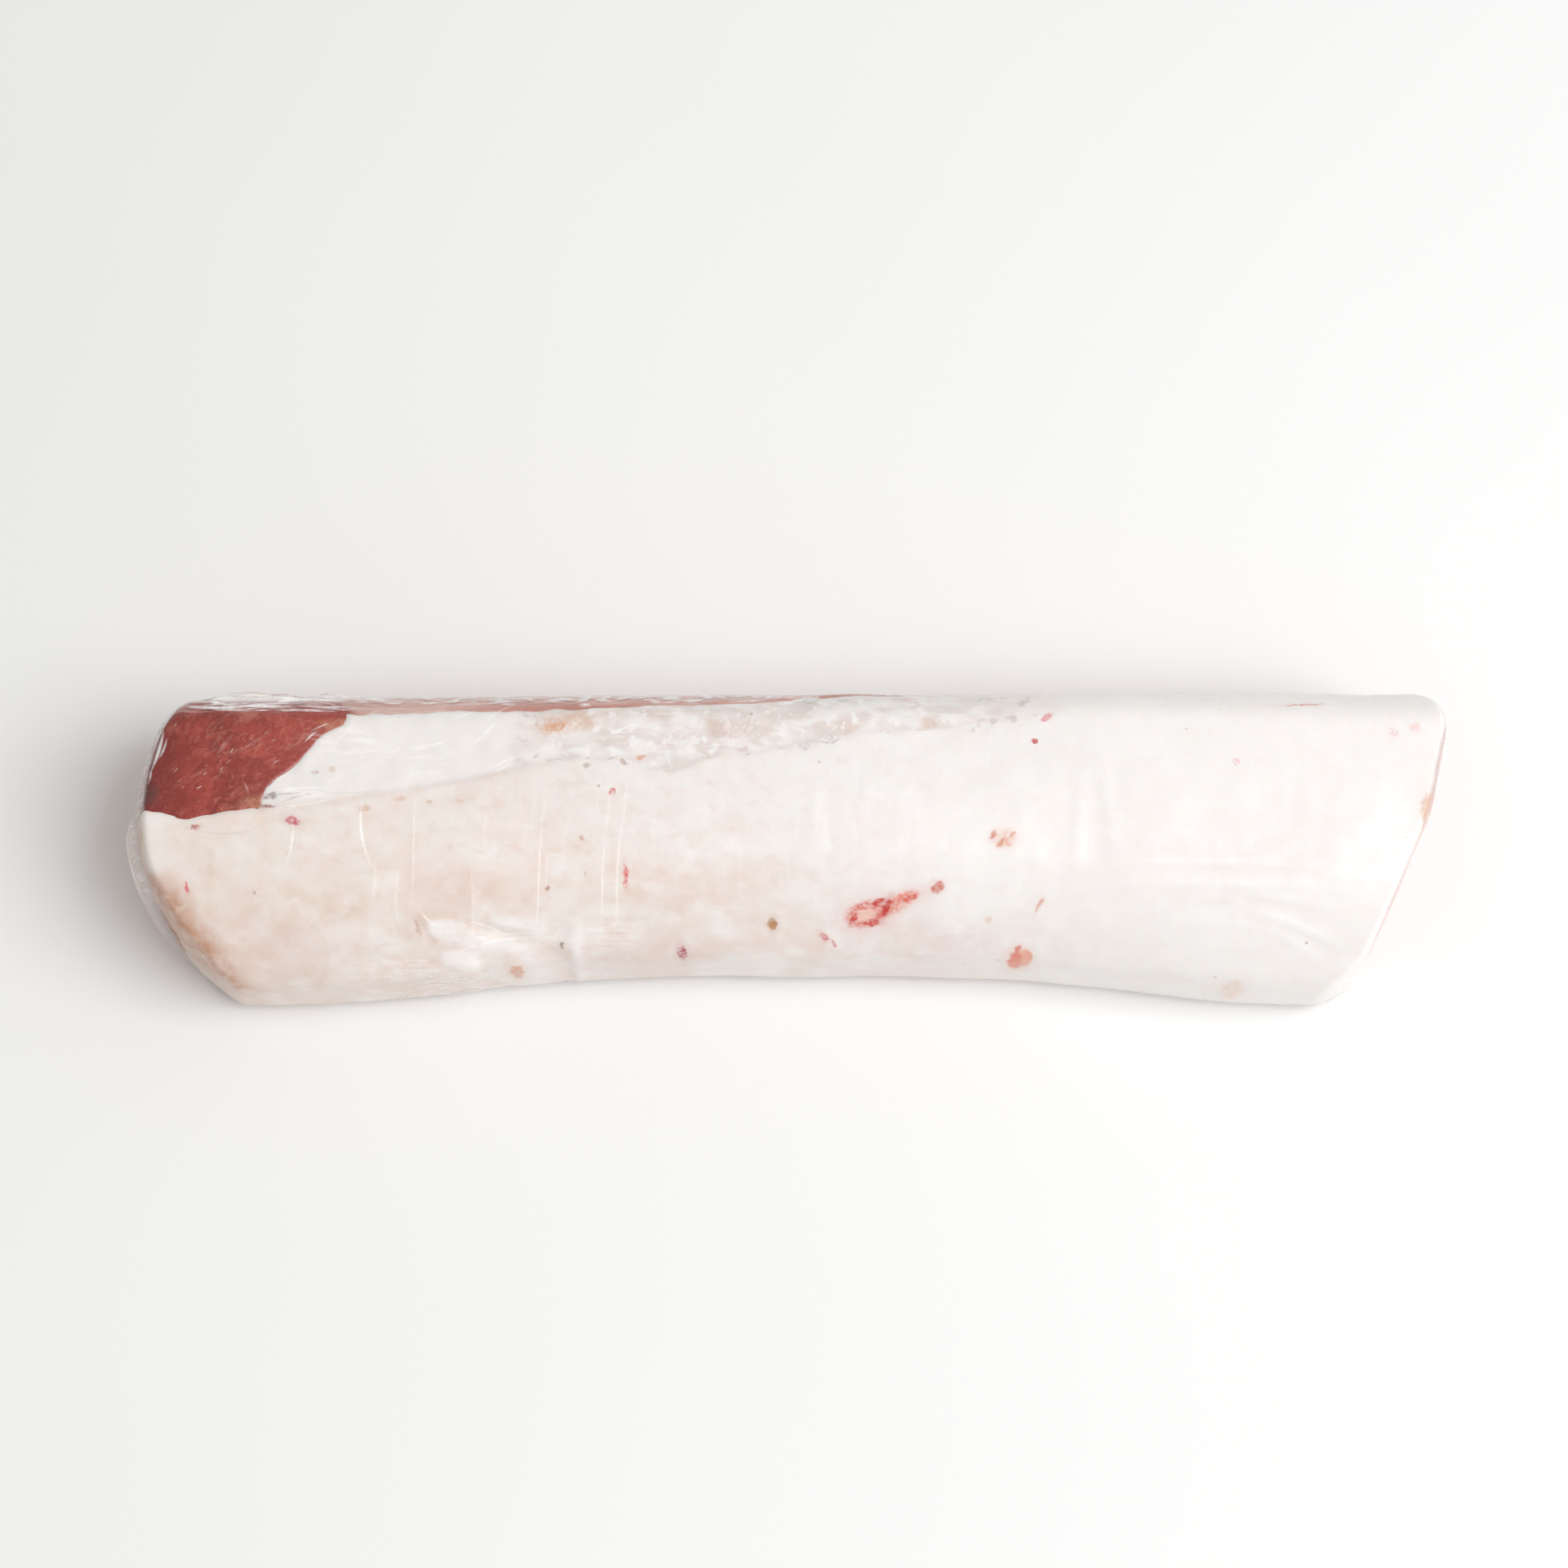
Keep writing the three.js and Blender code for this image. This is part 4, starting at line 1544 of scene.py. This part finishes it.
@dataclass(frozen=True)
class Crease:
    """A gathered ridge of film from one point of the plan to another, in millimetres, painted white as a
    glint unless its tone is low.
    """

    start: tuple[float, float]
    end: tuple[float, float]
    bow: float = 0.0
    width: float = 1.2
    body: float = 0.6
    tone: float = 1.0


@dataclass(frozen=True)
class Streaks:
    """A field of fine film streaks, painted white as glints, drawn at random in a rectangle of the plan, in
    mm and degrees.
    """

    x: tuple[float, float]
    y: tuple[float, float]
    angle: tuple[float, float]
    length: tuple[float, float]
    width: tuple[float, float]
    body: tuple[float, float]
    count: int
    bow: tuple[float, float] = (-0.06, 0.06)

    def draw(self, dice: random.Random) -> list[Crease]:
        """The field's creases.

        Args:
            dice: The seeded source of chance.

        Returns:
            One crease for each streak.
        """
        made = []
        for _ in range(self.count):
            x, y = dice.uniform(*self.x), dice.uniform(*self.y)
            angle = math.radians(dice.uniform(*self.angle))
            length = dice.uniform(*self.length)
            end = (x + length * math.cos(angle), y + length * math.sin(angle))
            bow = dice.uniform(*self.bow) * length
            made.append(Crease((x, y), end, bow, dice.uniform(*self.width), dice.uniform(*self.body)))
        return made


# White creases are painted glints; the low-tone ones along the band's fold are painted shadow lines, the one
# under the patch a brown seam
CREASES = (
    Crease((-257.5, -6), (-260.5, -27), 1.0, 1.8, 0.9),
    Crease((-221.5, 8), (-215.5, -28), -3.5, 1.8, 0.9),
    Crease((-194.5, 14), (-196, -50), 0.8, 1.4, 0.45),
    Crease((-128.5, 0), (-131.5, -57), 0.6, 1.6, 0.6),
    Crease((-96, -8), (-98, -57), 0.5, 1.5, 0.45),
    Crease((-87, -4), (-90, -56), -0.6, 1.7, 0.5),
    Crease((-84, 20), (-86, -12), -0.4, 2.2, 0.22),
    Crease((-93, 14), (-95, -10), 0.3, 2.0, 0.20),
    Crease((-178, -66), (-128, -57), 2.0, 1.8, 0.5),
    Crease((-192, -47), (-184, -54), -1.0, 2.0, 0.7),
    Crease((-168, -52), (-146, -57), 1.0, 1.8, 0.6),
    Crease((-266, 4.5), (-244.5, 10.8), 1.0, 1.4, 0.5, 0.25),
    Crease((-271, 8.8), (-252, 10.5), 0.8, 1.3, 0.45, 0.2),
    Crease((-268, 11.5), (-240, 13), 1.2, 1.6, 0.7),
    Crease((-266, 3), (-236, 8), -0.8, 1.4, 0.6),
    Crease((-314.5, -7.0), (-269, -6.5), -4.0, 1.0, 0.34, 0.3),
    Crease((-244, 11), (-206, 13.5), -1.0, 1.1, 0.22, 0.35),
    Crease((-326.5, 46), (-332.5, 21), 0.8, 3.0, 0.75),
    Crease((-324.5, 41), (-328.5, 29), 0.6, 1.8, 0.6),
    Crease((-332.0, 24), (-333.8, 15), 0.4, 2.0, 0.6),
    Crease((-270, 14), (-256, 26), 0.5, 2.0, 0.5),
    Crease((-254, 38), (-246, 46), 0.3, 1.4, 0.8),
    Crease((-250, 45), (-240, 50), 0.3, 1.2, 0.7),
    Crease((-285, 18), (-281, 9), 0.8, 1.4, 0.25),
    Crease((-300, 60.5), (-256, 60), 0.8, 2.2, 0.85),
    Crease((-272, 58), (-236, 57), 0.6, 2.6, 0.85),
    Crease((-262, 61.5), (-228, 60.5), -0.6, 2.0, 0.75),
    Crease((-312, 58), (-286, 60.5), 0.8, 1.8, 0.7),
)

# Fields of white streaks painted as film glints
FIELDS = (
    Streaks((-326, -240), (58, 69), (-6, 10), (10, 38), (1.0, 2.4), (0.5, 0.95), 22),
    Streaks((-245, 10), (60, 69), (-4, 9), (6, 24), (1.2, 3.0), (0.5, 0.95), 20),
    Streaks((0, 300), (66, 70), (-2, 2), (14, 60), (0.7, 1.4), (0.3, 0.6), 9),
    Streaks((-318, -274), (12, 50), (30, 60), (10, 24), (2.0, 4.0), (0.04, 0.12), 6),
    Streaks((-324, -262), (10, 54), (10, 70), (1.6, 4.5), (0.5, 0.9), (0.25, 0.7), 16),
    Streaks((-244, -150), (16, 56), (10, 50), (8, 26), (0.8, 1.8), (0.2, 0.5), 16),
    Streaks((-250, -105), (-26, 14), (-96, -84), (14, 36), (1.4, 2.8), (0.12, 0.28), 6),
    Streaks((-100, 30), (34, 56), (-20, 30), (5, 16), (0.9, 2.0), (0.2, 0.5), 15),
    Streaks((-235, 20), (63, 70), (-12, 16), (4, 14), (2.2, 5.0), (0.75, 1.0), 30),
    Streaks((-118, 24), (64, 69), (-16, 20), (6, 13), (3.5, 6.5), (0.9, 1.0), 20),
)


# Zones of the plan where the film is whitened with painted glints, as over gathered film
GATHER_GLINTS = (
    Zone(-175, -72, 150, 16, 0.55),
    Zone(-160, -56, 90, 16, 0.35),
    Zone(-95, -56, 40, 26, 0.35),
    Zone(-256, 12, 50, 16, 0.45),
    Zone(-235, 40, 60, 30, 0.35),
    Zone(-190, 30, 60, 24, 0.25),
    Zone(-40, 38, 160, 14, 0.30),
)


@dataclass
class FilmWrap:
    """The clear film round the whole loin, tight on the meat and standing clear of the two cut ends."""

    skin: LoinSkin
    finish: FilmFinish
    gap: float = 0.00035
    left_stand: float = 0.006
    left_tight: float = 0.0015
    right_stand: float = 0.0016
    right_veil: float = 2.1
    right_slack: float = 0.45
    stand_from: Span = (0.2, 0.9)
    stand_rise: Span = (0.056, 0.098)
    stand_foot: float = 0.12
    slack_far: Span = (0.15, -0.1)
    slack_near: Span = (-0.8, -0.35)
    veil_right: Span = (0.3, 0.9)
    veil_left: Span = (0.05, 0.5)
    veil_tight: float = 0.25
    veil_slack: float = 1.45
    gather_at: float = 0.98
    gather_turns: Span = (0.22, 0.06)
    gather_falls: tuple[tuple[float, Span], ...] = ((0.5, (-0.26, -0.22)), (0.4, (-0.05, 0.06)))
    gather_end: float = 0.6
    gather_from: Span = (0.02, 0.4)
    gather_rise: Span = (0.080, 0.096)
    flap: float = 0.007
    flap_start: Span = (-0.325, -0.295)
    flap_end: Span = (-0.20, -0.25)
    flap_width: Span = (0.22, 0.0)
    flap_share: float = 0.6
    flap_rough: Rough = Rough(0.6, 0.02, 11.0)
    flap_lift: float = 0.3
    crease_steps: tuple[int, int] = (26, 6)
    crease_rise: float = 0.12
    crease_gap: float = 0.00006
    crease_taper: float = 0.6
    crease_wander: float = 0.0006
    wander_pace: Span = (60.0, 9.0)
    over: float = 0.3
    beside: float = 0.08
    seed: int = 7

    def build(self) -> tuple[bpy.types.Object, bpy.types.Object]:
        """Models the wrap and its creases.

        Returns:
            The wrap and the creases.
        """
        wrap = self.skin.grid()
        stand_off, gather_glint, veil = float_layers(wrap, "stand_off", "gather_glint", "veil")
        for vert, site in zip(wrap.verts, self.skin.sites):
            inwards = min(site.lean_in, site.fat_in) - self.gap
            vert.co = self.skin.place(site, inwards, self._along(site))
            loose = self._loose(site)
            vert.co += loose
            vert.co.z = max(vert.co.z, 0.0)
            stand = self._slack(site) * smoothstep(site.end_share, *self.stand_from)
            stand *= lerp(self.stand_foot, 1.0, smoothstep(site.spot.z, *self.stand_rise))
            vert[stand_off] = min(1.0, stand + loose.length / self.flap)
            # Gathered film, whitened as painted glints
            vert[gather_glint] = self._gather_glint(site)
            vert[veil] = self._veil(site)
        return self.dress(wrap, self._creases(BVHTree.FromBMesh(wrap)))

    def _along(self, site: Site) -> float:
        """Depth of the film along the loin.

        Args:
            site: The site.

        Returns:
            The depth, negative where the film stands clear of an end.
        """
        if site.unit.x > 0:
            return -self.right_stand
        return -lerp(self.left_tight, self.left_stand, self._slack(site))

    def _slack(self, site: Site) -> float:
        """How slack the film is over the ends: most at the middle of the left one.

        Args:
            site: The site.

        Returns:
            The share of slack there.
        """
        if site.unit.x > 0:
            return self.right_slack
        return smoothstep(site.unit.y, *self.slack_far) * smoothstep(site.unit.y, *self.slack_near)

    def _veil(self, site: Site) -> float:
        """How white the film turns when seen edge on: least where it lies tight on the near-left end.

        Args:
            site: The site.

        Returns:
            The whiteness, 1 where the film is plain.
        """
        if site.unit.x > 0:
            return lerp(1.0, self.right_veil, smoothstep(site.end_share, *self.veil_right))
        if site.unit.y > 0:
            return 1.0
        left = self.veil_tight + self.veil_slack * self._slack(site)
        return lerp(1.0, left, smoothstep(site.end_share, *self.veil_left))

    def _gather_glint(self, site: Site) -> float:
        """How much the film is whitened where it gathers, with painted glints: along the far shoulder, most
        to the left, round the patch and in the listed zones.

        Args:
            site: The site.

        Returns:
            The share of gathering there.
        """
        shoulder = smoothstep(abs(site.turn - self.gather_at), *self.gather_turns)
        for share, span in self.gather_falls:
            shoulder *= lerp(1.0, share, smoothstep(site.spot.x, *span))
        end = smoothstep(site.end_share, *self.gather_from) * site.patch
        end *= smoothstep(site.spot.z, *self.gather_rise)
        return max(shoulder, self.gather_end * end, *(zone.share(site) for zone in GATHER_GLINTS))

    def _loose(self, site: Site) -> Vector:
        """How far the film is pulled out along the far-left shoulder, where it wasn't trimmed close.

        Args:
            site: The site.

        Returns:
            The pull, outwards and a little up.
        """
        along = smoothstep(site.spot.x, *self.flap_start) * smoothstep(site.spot.x, *self.flap_end)
        share = along * smoothstep(abs(site.turn - 1.0), *self.flap_width)
        pull = self.flap * share * (self.flap_share + self.flap_rough.at(site.spot))
        return Vector((0, pull, pull * self.flap_lift))

    def _creases(self, tree: BVHTree) -> bmesh.types.BMesh:
        """Every crease as a thin ridge on the film.

        Args:
            tree: The film's faces, to find its surface.

        Returns:
            The ridges as one bmesh.
        """
        ridges = bmesh.new()
        float_layers(ridges, "body", "tone")
        dice = random.Random(self.seed)
        every = list(CREASES)
        for field in FIELDS:
            every += field.draw(dice)
        for crease in every:
            self._ridge(ridges, tree, crease)
        return ridges

    def _ridge(self, ridges: bmesh.types.BMesh, tree: BVHTree, crease: Crease) -> None:
        """Adds one crease: a narrow grid laid along its path and raised in the middle.

        Args:
            ridges: The bmesh that it is added to.
            tree: The film's faces, to find its surface.
            crease: The crease.
        """
        body, tone = ridges.verts.layers.float["body"], ridges.verts.layers.float["tone"]
        steps, lanes = self.crease_steps
        made = bmesh.ops.create_grid(ridges, x_segments=steps, y_segments=lanes, size=1.0)
        start, end = Vector(crease.start) * MM, Vector(crease.end) * MM
        run = end - start
        side = Vector((-run.y, run.x)).normalized()
        pace, shift = self.wander_pace
        for vert in made["verts"]:
            share, across = (vert.co.x + 1) / 2, vert.co.y
            taper = math.sin(math.pi * share) ** self.crease_taper
            wander = noise.noise(Vector((share * run.length * pace, crease.bow, start.x * shift)))
            bow = crease.bow * MM * 4 * share * (1 - share) + self.crease_wander * wander
            place = start + run * share + side * (bow + across * crease.width * MM / 2 * taper)
            hit, normal, _, _ = tree.ray_cast(Vector((place.x, place.y, self.over)), Vector((0, 0, -1)))
            if hit is None:
                hit, normal, _, _ = tree.find_nearest(Vector((place.x, place.y, self.beside)))
            crown = (1 - across * across) ** 2
            vert.co = hit + normal * (crease.width * MM * self.crease_rise * taper * crown + self.crease_gap)
            vert[body] = crease.body * taper * crown
            vert[tone] = crease.tone

    def dress(self, wrap: bmesh.types.BMesh,
              creases: bmesh.types.BMesh) -> tuple[bpy.types.Object, bpy.types.Object]:
        """Gives the film its finish and its place in the frame.

        Args:
            wrap: The modelled film.
            creases: Its modelled ridges.

        Returns:
            The two pieces.
        """
        film = finish_piece("film_wrap", wrap, self.finish.material())
        ridges = finish_piece("film_creases", creases, self.finish.crease_material())
        for piece in (film, ridges):
            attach(piece, "root")
            piece.visible_shadow = False
        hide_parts("film_end_left", "film_end_right")
        return film, ridges


@dataclass(frozen=True)
class Studio:
    """The pale floor, soft light and camera of the picture."""

    floor_size: float = 6.0
    floor_tint: Colour = srgb(248, 248, 247)
    floor_dull: Colour = srgb(246, 246, 245)
    key_place: tuple[float, float, float] = (1.9, -0.65, 2.85)
    key_size: float = 2.4
    key_power: float = 87.0
    sky: float = 0.49
    sky_tint: Colour = (1.0, 0.995, 0.965, 1.0)
    key_tint: tuple[float, float, float] = (1.0, 1.004, 1.035)
    elevation: float = 71.0
    lens: float = 85.0
    sensor: float = 36.0
    distance: float = 1.981
    target: tuple[float, float, float] = (-0.00242, 0.03338, 0.05)

    def build(self) -> bpy.types.Object:
        """Sets the stage.

        Returns:
            The floor.
        """
        self._light()
        self._camera()
        grid = bmesh.new()
        bmesh.ops.create_grid(grid, x_segments=4, y_segments=4, size=self.floor_size / 2)
        floor = finish_piece("floor", grid, self._floor_material())
        return floor

    def _floor_material(self) -> bpy.types.Material:
        """A plain matt white surface, faintly uneven.

        Returns:
            The floor's material.
        """
        material, mix = new_material("studio_floor")
        uneven = mix.ramp(mix.noise(mix.here(), 0.5, 2.0), 0.3, 0.7)
        mix.surface({"Base Color": mix.mix(uneven, self.floor_tint, self.floor_dull), "Roughness": 0.85})
        return material

    def _light(self) -> None:
        """A broad key light from the right and a white room all round."""
        scene = bpy.context.scene
        lamp = bpy.data.lights.new("key", "AREA")
        lamp.shape = "SQUARE"
        lamp.size = self.key_size
        lamp.energy = self.key_power
        lamp.color = self.key_tint
        key = bpy.data.objects.new("key", lamp)
        key.location = self.key_place
        key.rotation_euler = (-Vector(self.key_place)).to_track_quat("-Z", "Y").to_euler()
        scene.collection.objects.link(key)
        world = bpy.data.worlds.new("room")
        world.use_nodes = True
        ground = world.node_tree.nodes["Background"]
        ground.inputs["Color"].default_value = self.sky_tint
        ground.inputs["Strength"].default_value = self.sky
        scene.world = world
        scene.view_settings.view_transform = "Standard"

    def _camera(self) -> None:
        """The camera, high over the near side."""
        lens = bpy.data.cameras.new("camera")
        lens.lens = self.lens
        lens.sensor_width = self.sensor
        camera = bpy.data.objects.new("camera", lens)
        rise = math.radians(self.elevation)
        back = Vector((0, -math.cos(rise), math.sin(rise)))
        camera.location = Vector(self.target) + back * self.distance
        camera.rotation_euler = (-back).to_track_quat("-Z", "Y").to_euler()
        bpy.context.scene.collection.objects.link(camera)
        bpy.context.scene.camera = camera


def report(pieces: list[bpy.types.Object]) -> None:
    """Logs each piece's name and face count."""
    for piece in pieces:
        LOG.info("%s: %d faces", piece.name, len(piece.data.polygons))


def main() -> None:
    """Builds the loin and its stage."""
    logging.basicConfig(level=logging.INFO, format="%(message)s")
    blemish_group()
    moist_group()
    form = LoinForm()
    skin = LoinSkin(form, MeatLayers(form))
    pieces = [FatCap(skin, FatFinish()).build(), LeanMeat(skin, LeanFinish()).build()]
    pieces += FilmWrap(skin, FilmFinish()).build()
    Studio().build()
    report(pieces)


if __name__ == "__main__":
    main()
